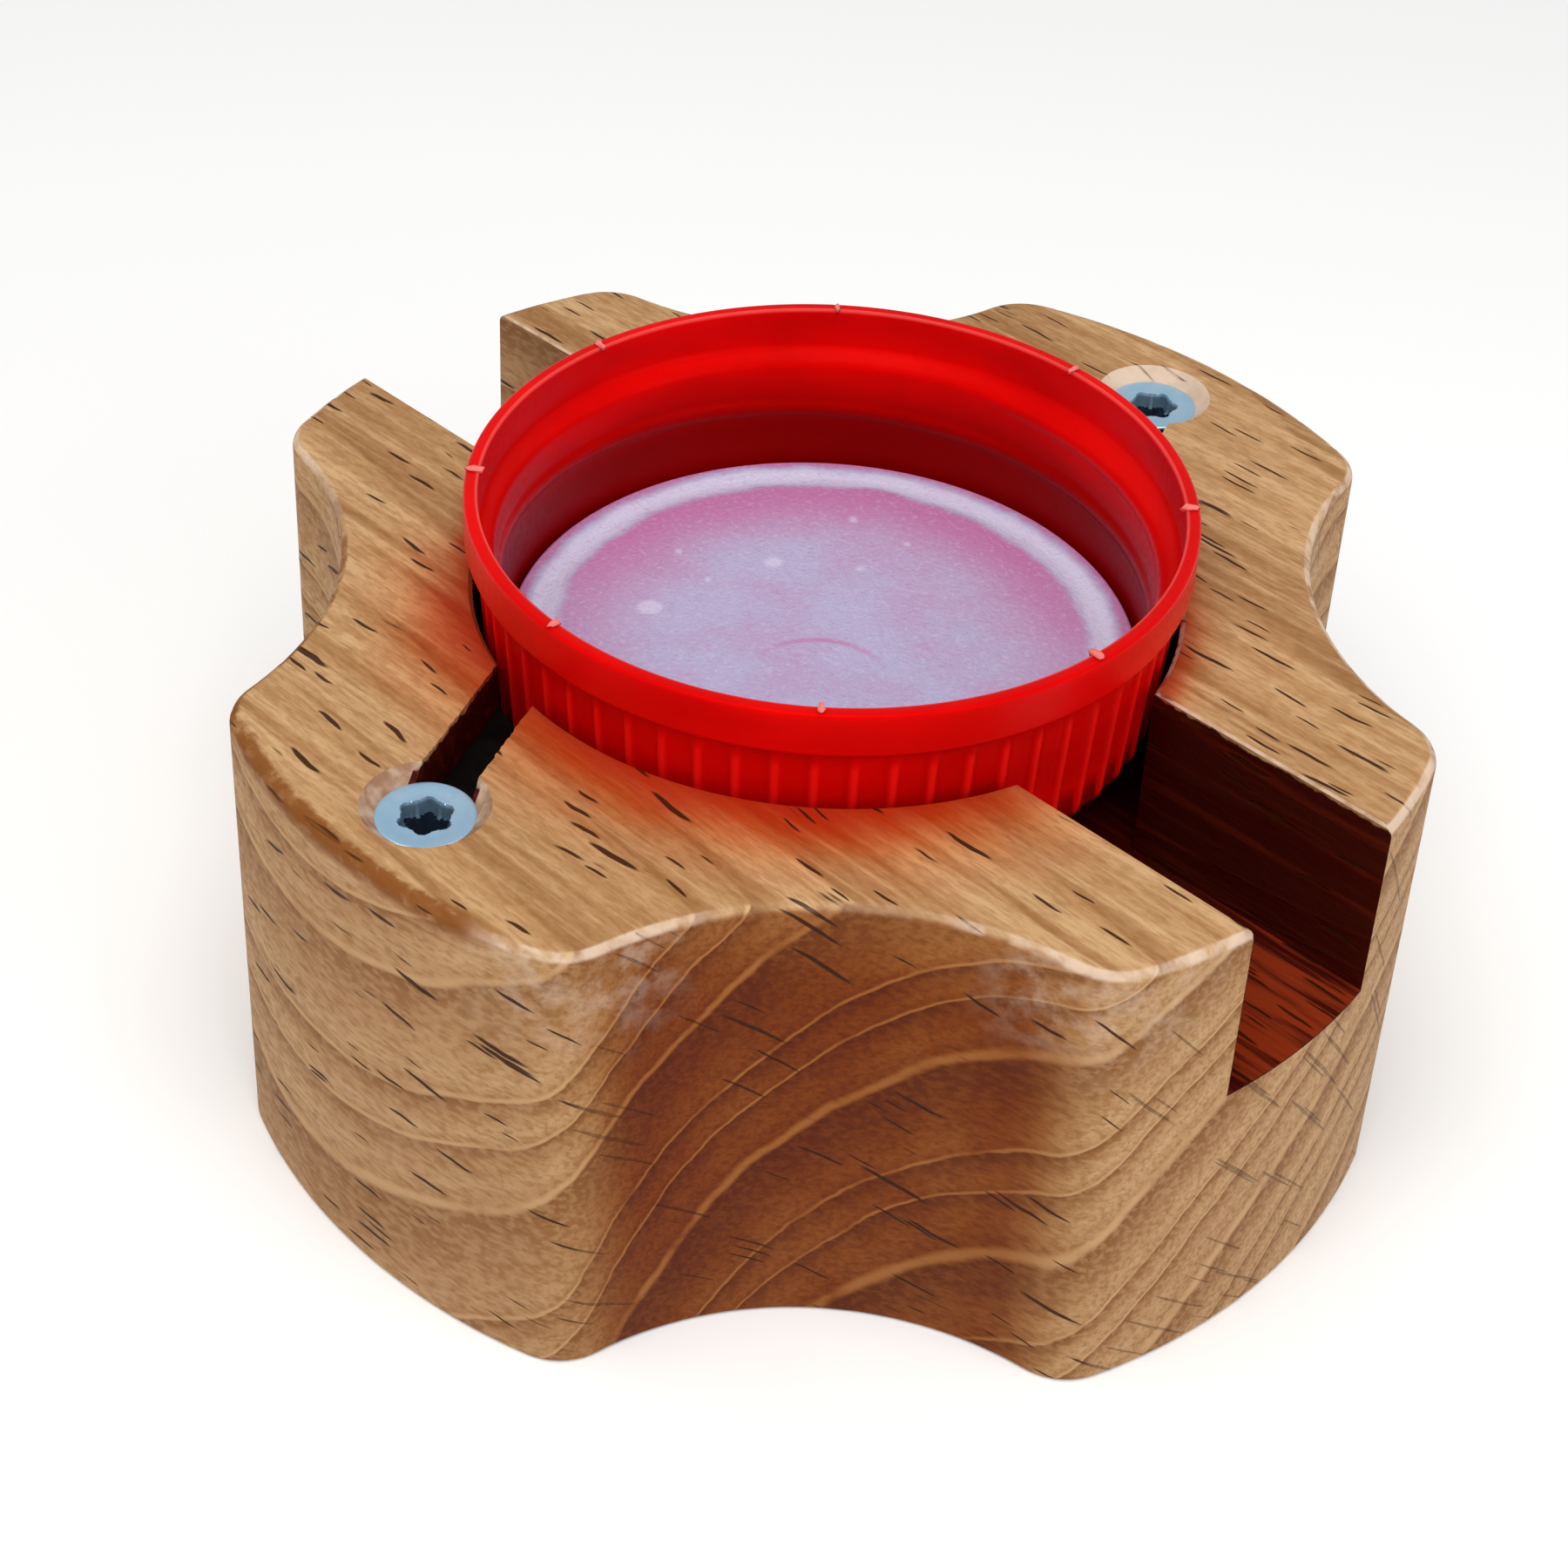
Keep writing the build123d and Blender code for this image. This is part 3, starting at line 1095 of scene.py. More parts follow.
@dataclass
class HandBlock:
    """The star-shaped beech block, with its pocket, wide slot, kerfs and countersinks."""

    height: float = cad_height("beech_block", Level.HIGH)
    lobe_radius: float = cad_reach("beech_block")
    screw_distance: float = abs(cad_middle("screw_front").y)
    floor: float = cad_height("grip_pad_front", Level.LOW)
    screw_point: float = cad_height("screw_front", Level.LOW)
    scallop_radius: float = 32.0
    scallop_distance: float = 77.0
    corner_round: float = 6.0
    edge_round: float = 0.95
    edge_steps: int = 5
    rub_sizes: tuple[float, float, float] = (3.1, 17.0, 46.0)     # broad, fine and nicks, per turn
    top_rub: tuple[float, float, float, float] = (1.0, 0.14, 0.08, 0.45)
    foot_rub: tuple[float, float, float, float] = (0.62, 0.10, 0.05, 0.0)
    nick_from: float = 0.32
    outline_steps: int = 720
    pocket_radius: float = 32.5
    mouth_bevel: float = 0.4
    slot_width: float = 18.5
    slot_flare: float = 0.22
    kerf_width: float = 5.2
    kerf_angle: float = 24.0
    kerf_reach: float = 21.9
    kerf_tear: float = 0.16
    kerf_levels: tuple[float, ...] = (2.4, 1.3, 0.6, 0.15)      # depths that the walls are split at
    kerf_cuts: int = 56           # and how many parts each long wall has
    sink_radius: float = 5.6
    shank_radius: float = 2.25
    overshoot: float = 2.0

    def outline_radius(self, angle: float, inset: float) -> float:
        """The star's radius, offset inwards.

        Args:
            angle: from the X axis, in radians.
            inset: how far inside the true outline.

        Returns:
            The distance from the axis.
        """
        lobe = self.lobe_radius - inset
        scallop = self.scallop_radius + inset
        corner = self.corner_round - inset
        quarter = math.pi / 2
        off = abs((angle % quarter) - quarter / 2)
        to_corner = lobe - corner
        reach = scallop + corner
        middle = self.scallop_distance
        corner_off = math.acos((to_corner**2 + middle**2 - reach**2) / (2 * to_corner * middle))
        if off >= corner_off:
            return lobe
        corner_x = to_corner * math.cos(corner_off)
        corner_y = to_corner * math.sin(corner_off)
        share = corner / reach
        touch = math.atan2(corner_y * (1 - share), corner_x + (middle - corner_x) * share)
        if off <= touch:
            spread = middle * math.sin(off)
            return middle * math.cos(off) - math.sqrt(scallop**2 - spread**2)
        spread = to_corner * math.sin(corner_off - off)
        return to_corner * math.cos(corner_off - off) + math.sqrt(corner**2 - spread**2)

    def wear(self, angle: float, upper: bool) -> float:
        """How much of the edge is rubbed away there, 1 where it is as sanded.

        Args:
            angle: from the X axis, in radians.
            upper: the upper edge, which is rubbed more than the foot's.

        Returns:
            A share of the edge's rounding.
        """
        around = Vector((math.cos(angle), math.sin(angle), 0.0 if upper else 3.0))
        broad, fine, nicks = (noise.noise(around * size) for size in self.rub_sizes)
        nicks = max(0.0, nicks - self.nick_from)
        even, by_broad, by_fine, by_nicks = self.top_rub if upper else self.foot_rub
        return even + by_broad * broad + by_fine * fine + by_nicks * nicks

    def loop(self, mesh: bmesh.types.BMesh, share: float, upper: bool) -> list[bmesh.types.BMEdge]:
        """One ring of the block's skin, on the rounding of its upper or lower edge.

        Args:
            mesh: the block's bmesh.
            share: 0 at the wall's end of the rounding and 1 at the flat face.
            upper: which edge.

        Returns:
            The ring's edges.
        """
        made = bmesh.ops.create_circle(mesh, segments=self.outline_steps, radius=1.0)["verts"]
        turn = share * math.pi / 2
        for vert in made:
            angle = math.atan2(vert.co.y, vert.co.x)
            size = self.edge_round * self.wear(angle, upper)
            radius = self.outline_radius(angle, size * (1 - math.cos(turn)))
            down = size * (1 - math.sin(turn))
            height = self.height - down if upper else down
            vert.co = (radius * math.cos(angle), radius * math.sin(angle), height)
        return list(dict.fromkeys(edge for vert in made for edge in vert.link_edges))

    def star(self) -> bmesh.types.BMesh:
        """The solid block, before anything is cut into it.

        Returns:
            Its bmesh.
        """
        mesh = bmesh.new()
        shares = [index / self.edge_steps for index in range(self.edge_steps + 1)]
        loops = [self.loop(mesh, share, False) for share in reversed(shares)]
        loops += [self.loop(mesh, share, True) for share in shares]
        for lower, upper in zip(loops, loops[1:]):
            bmesh.ops.bridge_loops(mesh, edges=lower + upper)
        Workshop.close(mesh)
        return mesh

    def pocket_cutter(self) -> bpy.types.Object:
        """The round pocket with its eased mouth.

        Returns:
            The cutter.
        """
        lip = self.pocket_radius + self.mouth_bevel
        top = self.height + self.overshoot
        profile = [
            (0.0, self.floor),
            (self.pocket_radius, self.floor),
            (self.pocket_radius, self.height - self.mouth_bevel),
            (lip, self.height),
            (lip + self.overshoot, top),
            (0.0, top),
        ]
        return Workshop.to_object(spun(profile, 240), "pocket_cutter")

    def slot_cutter(self) -> bpy.types.Object:
        """The wide slot along X, eased along its upper edges.

        Returns:
            The cutter.
        """
        mesh = bmesh.new()
        deep = self.height - self.floor
        bmesh.ops.create_cube(mesh, size=1.0)
        size = (2 * (self.lobe_radius + self.overshoot), self.slot_width, deep)
        bmesh.ops.scale(mesh, vec=size, verts=mesh.verts)
        bmesh.ops.translate(mesh, vec=(0, 0, self.floor + deep / 2), verts=mesh.verts)
        top = [face for face in mesh.faces if face.normal.z > 0.5]
        bmesh.ops.translate(mesh, vec=(0, 0, -self.slot_flare), verts=top[0].verts)
        for rise, widen in ((self.slot_flare, self.slot_flare), (self.overshoot, self.overshoot)):
            made = bmesh.ops.extrude_face_region(mesh, geom=top)["geom"]
            bmesh.ops.delete(mesh, geom=top, context="FACES_ONLY")
            top = [item for item in made if isinstance(item, bmesh.types.BMFace)]
            for vert in top[0].verts:
                vert.co.y += math.copysign(widen, vert.co.y)
                vert.co.z += rise
        Workshop.clean(mesh)
        return Workshop.to_object(mesh, "slot_cutter")

    def kerf_frame(self, side: int) -> Matrix:
        """Where a kerf lies: Y runs from its screw to the pocket.

        Args:
            side: -1 for the front kerf and 1 for the rear.

        Returns:
            The place and turn.
        """
        turn = math.radians(self.kerf_angle + (180 if side > 0 else 0))
        stand = Matrix.Translation((0, side * self.screw_distance, 0))
        return stand @ Matrix.Rotation(turn, 4, "Z")

    def kerf_cutter(self, side: int) -> bpy.types.Object:
        """A sawn kerf, round at its screw's end, with torn fibres along its walls.

        Args:
            side: -1 for the front kerf and 1 for the rear.

        Returns:
            The cutter.
        """
        mesh = bmesh.new()
        half = self.kerf_width / 2
        ring = bmesh.ops.create_circle(mesh, segments=48, radius=half)["verts"]
        far = [vert for vert in ring if vert.co.y > MERGE]
        bmesh.ops.translate(mesh, vec=(0, self.kerf_reach, 0), verts=far)
        long_edges = [edge for edge in mesh.edges if edge.calc_length() > half * 3]
        bmesh.ops.subdivide_edges(mesh, edges=long_edges, cuts=self.kerf_cuts)
        edges = list(mesh.edges)
        levels = [self.floor, *(self.height - depth for depth in self.kerf_levels)]
        levels.append(self.height + self.overshoot)
        bmesh.ops.translate(mesh, vec=(0, 0, levels[0]), verts=mesh.verts)
        for low, high in zip(levels, levels[1:]):
            made = bmesh.ops.extrude_edge_only(mesh, edges=edges)["geom"]
            verts = [item for item in made if isinstance(item, bmesh.types.BMVert)]
            bmesh.ops.translate(mesh, vec=(0, 0, high - low), verts=verts)
            edges = [item for item in made if isinstance(item, bmesh.types.BMEdge)]
        for vert in mesh.verts:
            near_top = smooth_step(self.height - 5.0, self.height - 0.5, vert.co.z)
            away = smooth_step(1.5, 4.5, vert.co.y) * (abs(vert.co.x) > half * 0.9)
            grit = noise.noise(Vector((vert.co.x * 2 + side * 9, vert.co.y * 1.9, vert.co.z * 0.5)))
            coarse = noise.noise(Vector((vert.co.x + side * 5, vert.co.y * 0.55, 4.0)))
            push = self.kerf_tear * away * (grit + 0.8 * coarse + 0.25) * (0.35 + 0.65 * near_top)
            vert.co.x += math.copysign(push, vert.co.x)
        Workshop.close(mesh)
        bmesh.ops.transform(mesh, matrix=self.kerf_frame(side), verts=mesh.verts)
        return Workshop.to_object(mesh, "kerf_cutter")

    def sink_cutter(self, side: int) -> bpy.types.Object:
        """A countersink and the pilot hole under it.

        Args:
            side: -1 for the front screw and 1 for the rear.

        Returns:
            The cutter.
        """
        over = self.sink_radius + self.overshoot
        depth = self.sink_radius - self.shank_radius
        profile = [
            (0.0, self.screw_point),
            (self.shank_radius, self.screw_point),
            (self.shank_radius, self.height - depth),
            (over, self.height + self.overshoot),
            (0.0, self.height + self.overshoot),
        ]
        mesh = spun(profile, 96)
        bmesh.ops.translate(mesh, vec=(0, side * self.screw_distance, 0), verts=mesh.verts)
        return Workshop.to_object(mesh, "sink_cutter")

    def build(self, finish: OiledBeech) -> bpy.types.Object:
        """Makes and dresses the block.

        Args:
            finish: its material.

        Returns:
            The piece.
        """
        piece = Workshop.to_object(self.star(), "hand_block")
        cutters = [self.pocket_cutter(), self.slot_cutter()]
        for side in (-1, 1):
            cutters += [self.kerf_cutter(side), self.sink_cutter(side)]
        Workshop.cut(piece, cutters)
        Workshop.smooth(piece, 32)
        Workshop.dress(piece, finish.build(), Slot.BEECH, Body.BLOCK, "beech_block")
        return piece


@dataclass
class WoodScrew:
    """A countersunk chipboard screw with a six-lobe recess."""

    node: str
    turn: float
    head_radius: float = 4.4
    core_radius: float = 1.55
    crest_radius: float = 2.22
    head_round: float = 0.22
    pitch: float = 2.2
    tip_length: float = 6.0
    drive_radius: float = 2.45
    drive_depth: float = 1.5
    lobe_depth: float = 0.52
    head_steps: int = 120
    face_rings: tuple[float, ...] = (
        3.9, 3.5, 3.1, 2.8, 2.62, 2.52, 2.40, 2.30, 2.15, 1.9, 1.6, 1.2, 0.8, 0.4, 0.0,
    )
    root_depth: float = 0.15      # how far the thread's foot lies in the core
    root_half: float = 0.42
    turn_steps: int = 28          # of the thread, to a turn

    def place(self) -> Vector:
        """The screw's foot on its axis, at height 0."""
        middle = cad_middle(self.node)
        return Vector((middle.x, middle.y, 0.0))

    def body(self) -> bmesh.types.BMesh:
        """Head, shank and point in one shell, with the recess pressed into the head.

        Returns:
            Its bmesh.
        """
        top = cad_height(self.node, Level.HIGH)
        point = cad_height(self.node, Level.LOW)
        under = top - (self.head_radius - self.core_radius)
        rim = self.head_round
        profile = [(0.0, point), (0.25, point + 0.15), (self.core_radius, point + self.tip_length)]
        profile += run(profile[-1], (self.core_radius, under - 0.5), 8)
        profile += [(self.core_radius, under - 0.5), (self.core_radius + 0.15, under)]
        profile += [(self.head_radius - 0.12, top - 0.42)]
        profile += arc((self.head_radius - rim, top - rim), rim, -20, 90, 6)
        profile += [(radius, top) for radius in self.face_rings]
        mesh = spun(profile, self.head_steps)
        for vert in mesh.verts:
            radius = math.hypot(vert.co.x, vert.co.y)
            if vert.co.z >= top - MERGE and radius <= self.face_rings[0] + 0.05:
                vert.co.z = top + self.face_height(radius, math.atan2(vert.co.y, vert.co.x))
        return mesh

    def face_height(self, radius: float, angle: float) -> float:
        """How far the head's face is from flat, with the recess.

        Args:
            radius: distance from the screw's axis.
            angle: round it, in radians.

        Returns:
            A height, below 0 in the recess.
        """
        wall = self.drive_radius - self.lobe_depth * (0.5 - 0.5 * math.cos(6 * angle))
        dish = -0.10 * smooth_step(3.9, 2.6, radius)
        deep = smooth_step(wall + 0.07, wall - 0.10, radius)
        cone = 0.35 * smooth_step(wall, 0.0, radius)
        return dish - deep * (self.drive_depth + cone)

    def thread(self) -> bmesh.types.BMesh:
        """The helical thread, one closed ridge that tapers out at both ends.

        Returns:
            Its bmesh.
        """
        mesh = bmesh.new()
        low = cad_height(self.node, Level.LOW)
        start = low + 1.6
        end = cad_height(self.node, Level.HIGH) - 5.0
        turns = (end - start) / self.pitch
        root = self.core_radius - self.root_depth
        corners = ((root, -self.root_half), (self.crest_radius, 0.0), (root, self.root_half))
        points = [mesh.verts.new((radius, 0.0, start + rise)) for radius, rise in corners]
        face = mesh.faces.new(points)
        steps = round(turns * self.turn_steps)
        bmesh.ops.spin(
            mesh,
            geom=[face, *face.edges, *points],
            cent=(0, 0, 0),
            axis=(0, 0, 1),
            dvec=(0, 0, (end - start) / steps),
            angle=2 * math.pi * turns,
            steps=steps,
        )
        for vert in mesh.verts:
            radius = math.hypot(vert.co.x, vert.co.y)
            core = self.core_radius * smooth_step(low - 1.5, low + self.tip_length, vert.co.z)
            fade = smooth_step(start - 0.6, start + 2.4, vert.co.z)
            fade *= smooth_step(end + 0.5, end - 1.2, vert.co.z)
            wanted = max(0.12, core - self.root_depth) + (radius - root) * (0.15 + 0.85 * fade)
            vert.co.x *= wanted / radius
            vert.co.y *= wanted / radius
        Workshop.close(mesh)
        return mesh

    def build(self, name: str, material: bpy.types.Material) -> bpy.types.Object:
        """Makes and dresses the screw.

        Args:
            name: the piece's name.
            material: its finish.

        Returns:
            The piece.
        """
        mesh = self.body()
        ridge = self.thread()
        spare = bpy.data.meshes.new("thread")
        ridge.to_mesh(spare)
        ridge.free()
        mesh.from_mesh(spare)
        bpy.data.meshes.remove(spare)
        stand = Matrix.Translation(self.place()) @ Matrix.Rotation(math.radians(self.turn), 4, "Z")
        bmesh.ops.transform(mesh, matrix=stand, verts=mesh.verts)
        piece = Workshop.to_object(mesh, name)
        Workshop.smooth(piece, 38)
        Workshop.dress(piece, material, Slot.ZINC, Body.BLOCK, self.node)
        return piece


@dataclass
class ScrewCap:
    """The red canister cap, mouth up: collar, ribs, inner thread and torn band stubs."""

    rim: float = cad_height("screw_cap", Level.HIGH) - 0.45
    base: float = cad_height("screw_cap", Level.LOW)
    collar_radius: float = cad_reach("screw_cap")
    wall: float = 1.3
    plate: float = 2.2
    taper: float = 0.8
    corner: float = 4.0
    collar_height: float = 4.2
    collar_slope: float = 1.2
    overhang: float = 1.1
    rib_height: float = 0.4
    rib_count: int = 60
    rib_share: float = 0.34       # of the pitch that a rib takes
    steps: int = 720
    thread_pitch: float = 5.0
    thread_turns: float = 1.3
    thread_start: float = 7.0
    thread_depth: float = 0.30
    thread_half: float = 0.95
    thread_run_out: float = 0.05  # of a turn
    stub_count: int = 8
    stub_turn: float = -2.5
    stub_rise: float = 0.44       # the most that a stub stands over the rim

    @property
    def skirt_radius(self) -> float:
        """Outside of the skirt, between its ribs."""
        return self.collar_radius - self.overhang - self.rib_height

    @property
    def slope_foot(self) -> float:
        """Height of the foot of the slope under the collar."""
        return self.rim - self.collar_height - self.collar_slope

    def profile(self) -> list[Point]:
        """The cap's section, from the axis outside and up, over the rim and down inside.

        Returns:
            Radius and height of each point.
        """
        skirt, rim, foot = self.skirt_radius, self.rim, self.slope_foot
        low = skirt - self.taper
        under = self.rim - self.collar_height
        collar, lip = self.collar_radius, 0.38
        inner = collar - self.wall
        bore, bore_low = skirt - self.wall, skirt - self.wall - self.taper
        plate_top = self.base + self.plate
        points = [(0.0, self.base), (low * 0.4, self.base), (low * 0.75, self.base)]
        points += arc((low - self.corner, self.base + self.corner), self.corner, -90, 0, 8)
        points += run(points[-1], (skirt, foot - 0.5), 9)
        points += [(skirt, foot - 0.5), (skirt + 0.10, foot)]
        points += run(points[-1], (collar - 0.25, under - 0.12), 4)
        points += arc((collar - 0.35, under + 0.25), 0.35, -45, 0, 3)
        points += run(points[-1], (collar, rim - lip), 3)
        points += arc((collar - lip, rim - lip), lip, 0, 90, 6)
        points += arc((inner + 0.22, rim - 0.22), 0.22, 90, 180, 4)
        points += run(points[-1], (inner, under + 0.3), 3)
        points += [(inner, under + 0.3), (inner - 0.1, under)]
        points += run(points[-1], (bore + 0.1, foot - 0.1), 3) + [(bore + 0.1, foot - 0.1)]
        points += run((bore, foot - 0.4), (bore_low + 0.15, plate_top + 1.2), 36)
        points += arc((bore_low - 0.9, plate_top + 1.0), 1.0, 0, -90, 4)
        points += [(bore_low * 0.8, plate_top), (bore_low * 0.4, plate_top), (0.0, plate_top)]
        return points

    def rib_push(self, angle: float, height: float) -> float:
        """How far a rib stands out of the skirt there.

        Args:
            angle: round the cap, in radians.
            height: over the block's foot.

        Returns:
            A distance outwards.
        """
        turn = angle * self.rib_count / (2 * math.pi)
        off = abs(turn - round(turn)) * 2 / self.rib_share
        crown = math.sqrt(max(0.0, 1 - off * off)) if off < 1 else 0.0
        ends = smooth_step(self.base + 1.2, self.base + 3.4, height)
        ends *= smooth_step(self.slope_foot + 0.55, self.slope_foot - 0.35, height)
        return self.rib_height * crown * ends

    def thread_push(self, angle: float, height: float) -> float:
        """How far the thread stands in from the bore there.

        Args:
            angle: round the cap, in radians.
            height: over the block's foot.

        Returns:
            A distance inwards.
        """
        begin = self.base + self.plate + self.thread_start
        share = (angle % (2 * math.pi)) / (2 * math.pi)
        best = 0.0
        for lap in range(math.ceil(self.thread_turns) + 1):
            along = lap + share
            if along > self.thread_turns:
                continue
            off = abs(height - begin - along * self.thread_pitch) / self.thread_half
            ridge = smooth_step(1.0, 0.42, off)
            ends = smooth_step(0.0, self.thread_run_out, along)
            ends *= smooth_step(self.thread_turns, self.thread_turns - self.thread_run_out, along)
            best = max(best, ridge * ends)
        return self.thread_depth * best

    def shell(self) -> bmesh.types.BMesh:
        """The cap's shell, with ribs and thread moulded into its walls.

        Returns:
            Its bmesh.
        """
        mesh = spun(self.profile(), self.steps)
        middle = self.skirt_radius - self.wall / 2
        for vert in mesh.verts:
            radius = math.hypot(vert.co.x, vert.co.y)
            height = vert.co.z
            if height > self.slope_foot + 0.6 or height < self.base + 0.5 or radius < 20:
                continue
            angle = math.atan2(vert.co.y, vert.co.x)
            lean = self.taper * smooth_step(self.slope_foot, self.base, height)
            outside = radius > middle - lean
            push = self.rib_push(angle, height) if outside else -self.thread_push(angle, height)
            vert.co.x += push * math.cos(angle)
            vert.co.y += push * math.sin(angle)
        return mesh

    def stub(self, mesh: bmesh.types.BMesh, index: int) -> None:
        """Adds one torn stub of the tamper band to the rim.

        Args:
            mesh: the bmesh it is added to.
            index: which of them, from the first at the stub turn.
        """
        angle = math.radians(self.stub_turn + index * 360 / self.stub_count)
        made = bmesh.ops.create_icosphere(mesh, subdivisions=2, radius=0.5)["verts"]
        chance = noise.noise(Vector((index * 3.7, 1.3, 0.0)))
        for vert in made:
            rough = 1 + 0.45 * noise.noise(vert.co * 3.4 + Vector((index * 5.0, 0, 0)))
            vert.co *= rough
        tall = 0.42 + 0.12 * chance
        size = (1.55 + 0.5 * chance, 0.72 + 0.25 * chance, 2 * tall)
        bmesh.ops.scale(mesh, vec=size, verts=made)
        centre = self.collar_radius - self.wall / 2 - 0.25
        stand = Matrix.Rotation(angle, 4, "Z") @ Matrix.Translation((centre, 0, self.rim - 0.02))
        bmesh.ops.transform(mesh, matrix=stand, verts=made)
        for vert in made:
            vert.co.z = min(vert.co.z, self.rim + self.stub_rise)

    def build(self, finish: RedPolyethylene) -> bpy.types.Object:
        """Makes and dresses the cap.

        Args:
            finish: its material.

        Returns:
            The piece.
        """
        mesh = self.shell()
        for index in range(self.stub_count):
            self.stub(mesh, index)
        piece = Workshop.to_object(mesh, "canister_cap")
        Workshop.smooth(piece, 48)
        Workshop.dress(piece, finish.build(), Slot.PLASTIC, Body.CAP, "screw_cap")
        return piece


@dataclass
class FoamLiner:
    """The foam disc in the cap, with the ring that a bottle neck pressed into it."""

    radius: float = cad_reach("cap_liner")
    low: float = cad_height("cap_liner", Level.LOW)
    top: float = cad_height("cap_liner", Level.HIGH)
    edge_round: float = 0.5
    ring_middle: float = 26.4
    ring_half: float = 1.1
    ring_depth: float = 0.30
    sag_depth: float = 0.22
    ripple: float = 0.05
    rings: int = 46
    steps: int = 240

    def face_height(self, x: float, y: float) -> float:
        """How far the worn face lies below its full thickness.

        Args:
            x: place along the slot.
            y: place across it.

        Returns:
            A height of 0 or less.
        """
        radius = math.hypot(x, y)
        waver = noise.noise(Vector((x * 0.09, y * 0.09, 2.0)))
        ring = self.ring_middle + 0.35 * waver
        pressed = smooth_step(ring - self.ring_half, ring - 0.35, radius)
        pressed *= smooth_step(ring + self.ring_half, ring + 0.35, radius)
        sag = self.sag_depth * smooth_step(24.0, 10.0, radius)
        ripple = self.ripple * (1 + noise.noise(Vector((x * 0.22, y * 0.22, 7.0))))
        return -(self.ring_depth * pressed + sag + ripple)

    def build(self, finish: WhiteFoam) -> bpy.types.Object:
        """Makes and dresses the liner.

        Args:
            finish: its material.

        Returns:
            The piece.
        """
        edge = self.edge_round
        profile = [(0.0, self.low), (self.radius * 0.6, self.low), (self.radius - 0.2, self.low)]
        profile += [(self.radius, self.low + 0.2)]
        profile += arc((self.radius - edge, self.top - edge), edge, 0, 90, 5)
        inner = self.radius - edge
        shares = [index / self.rings for index in range(1, self.rings + 1)]
        profile += [(inner * (1 - share), self.top) for share in shares]
        mesh = spun(profile, self.steps)
        for vert in mesh.verts:
            if vert.co.z > self.top - MERGE:
                vert.co.z += self.face_height(vert.co.x, vert.co.y)
        piece = Workshop.to_object(mesh, "liner_disc")
        Workshop.smooth(piece, 50)
        Workshop.dress(piece, finish.build(), Slot.FOAM, Body.CAP, "cap_liner")
        return piece


@dataclass
class GripPad:
    """A rubber pad that stands in a kerf and bites on the cap's ribs."""

    node: str
    round_over: float = 0.35
    seam: float = 1e-3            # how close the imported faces' own points have to be to join
    flat: float = 3.0             # degrees under which two faces are one
    edge: float = 50.0            # degrees over which an edge is eased

    def build(self, name: str, material: bpy.types.Material) -> bpy.types.Object:
        """Makes and dresses the pad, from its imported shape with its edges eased.

        Args:
            name: the piece's name.
            material: its finish.

        Returns:
            The piece.
        """
        mesh = bmesh.new()
        mesh.from_mesh(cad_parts[self.node].data)
        bmesh.ops.scale(mesh, vec=(1 / METRES,) * 3, verts=mesh.verts)
        bmesh.ops.remove_doubles(mesh, verts=mesh.verts, dist=self.seam)
        bmesh.ops.dissolve_limit(
            mesh, angle_limit=math.radians(self.flat), verts=mesh.verts, edges=mesh.edges
        )
        edge = math.radians(self.edge)
        sharp = [e for e in mesh.edges if e.is_manifold and e.calc_face_angle() > edge]
        bmesh.ops.bevel(
            mesh,
            geom=sharp,
            offset=self.round_over,
            affect="EDGES",
            segments=3,
            profile=0.5,
            material=-1,
            clamp_overlap=True,
        )
        Workshop.clean(mesh)
        piece = Workshop.to_object(mesh, name)
        Workshop.smooth(piece, 40)
        Workshop.dress(piece, material, Slot.RUBBER, Body.BLOCK, self.node)
        return piece


# ---------------------------------------------------------------- studio


class Light(Enum):
    """The studio's soft boxes."""

    OVERHEAD = "overhead"
    BACK = "back"
    FILL = "fill"


@dataclass(frozen=True)
class SoftBox:
    """One rectangular soft light that looks at the object."""

    light: Light
    place: tuple[float, float, float]
    size: tuple[float, float]
    power: float
    colour: Colour = (1.0, 1.0, 1.0)

    def build(self, aim: Vector) -> None:
        """Stands the light in the scene.

        Args:
            aim: what it looks at, in metres.
        """
        data = bpy.data.lights.new(self.light.value, "AREA")
        data.shape = "RECTANGLE"
        data.size, data.size_y = self.size
        data.energy = self.power
        data.color = self.colour
        lamp = bpy.data.objects.new(self.light.value, data)
        lamp.location = self.place
        lamp.rotation_euler = (aim - Vector(self.place)).to_track_quat("-Z", "Y").to_euler()
        bpy.context.scene.collection.objects.link(lamp)


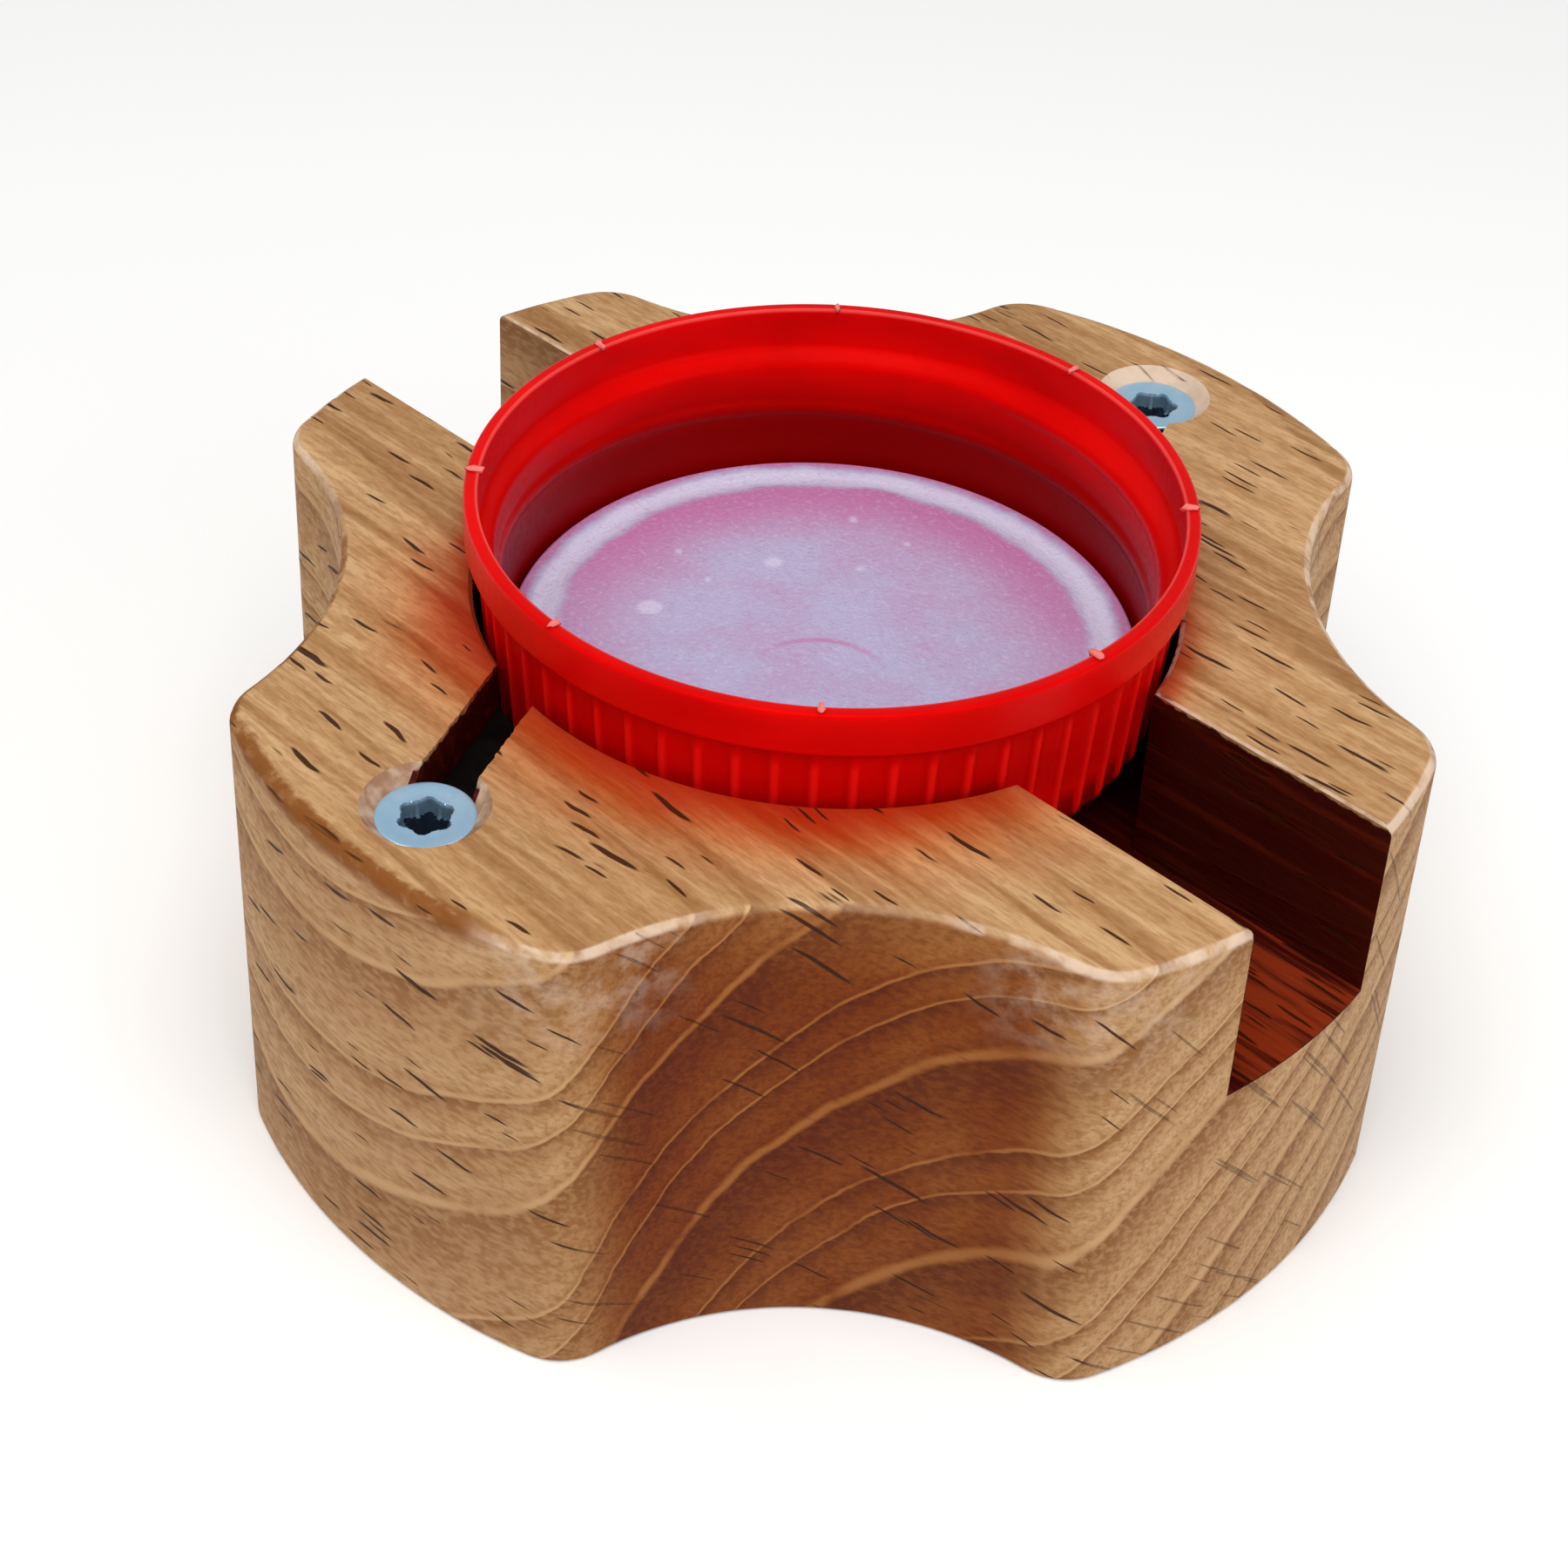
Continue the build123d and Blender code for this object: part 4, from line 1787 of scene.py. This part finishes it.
@dataclass
class Studio:
    """Floor, sky, soft boxes and camera."""

    floor_size: float = 6.0
    sky: Colour = (1.0, 1.0, 1.0)
    sky_power: float = 0.43
    camera_place: tuple[float, float, float] = (0.153265, -0.171206, 0.211279)
    camera_right: tuple[float, float, float] = (0.67927, 0.73382, 0.01027)
    camera_up: tuple[float, float, float] = (-0.41533, 0.37285, 0.82975)
    camera_lens: float = 70.03
    camera_shift: tuple[float, float] = (0.1111, -0.1889)
    boxes: tuple[SoftBox, ...] = (
        SoftBox(Light.OVERHEAD, (0.17, -0.26, 0.74), (0.7, 0.7), 5.9, (1.0, 0.985, 0.955)),
        SoftBox(Light.BACK, (0.85, 0.10, 0.35), (0.5, 0.6), 2.2, (0.82, 0.91, 1.0)),
        SoftBox(Light.FILL, (-0.75, -0.55, 0.45), (0.7, 0.6), 0.5, (0.75, 0.87, 1.0)),
    )

    def floor(self) -> None:
        """Lays the floor under the object."""
        mesh = bmesh.new()
        bmesh.ops.create_grid(mesh, x_segments=1, y_segments=1, size=self.floor_size / 2)
        data = bpy.data.meshes.new("floor")
        mesh.to_mesh(data)
        mesh.free()
        data.materials.append(PaleFloor().build())
        floor = bpy.data.objects.new("floor", data)
        bpy.context.scene.collection.objects.link(floor)

    def light(self) -> None:
        """Lights the object from a white sky and the soft boxes."""
        world = bpy.data.worlds.new("sky")
        world.use_nodes = True
        background = world.node_tree.nodes["Background"]
        background.inputs["Color"].default_value = (*self.sky, 1.0)
        background.inputs["Strength"].default_value = self.sky_power
        bpy.context.scene.world = world
        bpy.context.scene.view_settings.view_transform = "Standard"
        aim = Vector((0, 0, CAD_BOX[1].z / 2))
        for box in self.boxes:
            box.build(aim)

    def camera(self) -> None:
        """Stands the camera where it looks down on the front of the block."""
        data = bpy.data.cameras.new("camera")
        data.lens = self.camera_lens
        data.shift_x, data.shift_y = self.camera_shift
        data.clip_start = 0.01
        camera = bpy.data.objects.new("camera", data)
        right, up = Vector(self.camera_right).normalized(), Vector(self.camera_up).normalized()
        back = right.cross(up)
        turn = Matrix((right, up, back)).transposed().to_4x4()
        camera.matrix_world = Matrix.Translation(self.camera_place) @ turn
        bpy.context.scene.collection.objects.link(camera)
        bpy.context.scene.camera = camera

    def build(self) -> None:
        """Builds the whole studio."""
        self.floor()
        self.light()
        self.camera()


# ---------------------------------------------------------------- the whole object


def main() -> None:
    """Builds each sub-assembly and the studio, in order."""
    logging.basicConfig(level=logging.INFO, format="%(name)s: %(message)s")
    Studio().build()
    block = HandBlock()
    block.build(OiledBeech(block=block))
    zinc = BlueZinc().build()
    WoodScrew("screw_front", 12.0).build("wood_screw_front", zinc)
    WoodScrew("screw_rear", 41.0).build("wood_screw_rear", zinc)
    rubber = BlackRubber().build()
    GripPad("grip_pad_front").build("rubber_pad_front", rubber)
    GripPad("grip_pad_rear").build("rubber_pad_rear", rubber)
    ScrewCap().build(RedPolyethylene())
    FoamLiner().build(WhiteFoam())


if __name__ == "__main__":
    main()
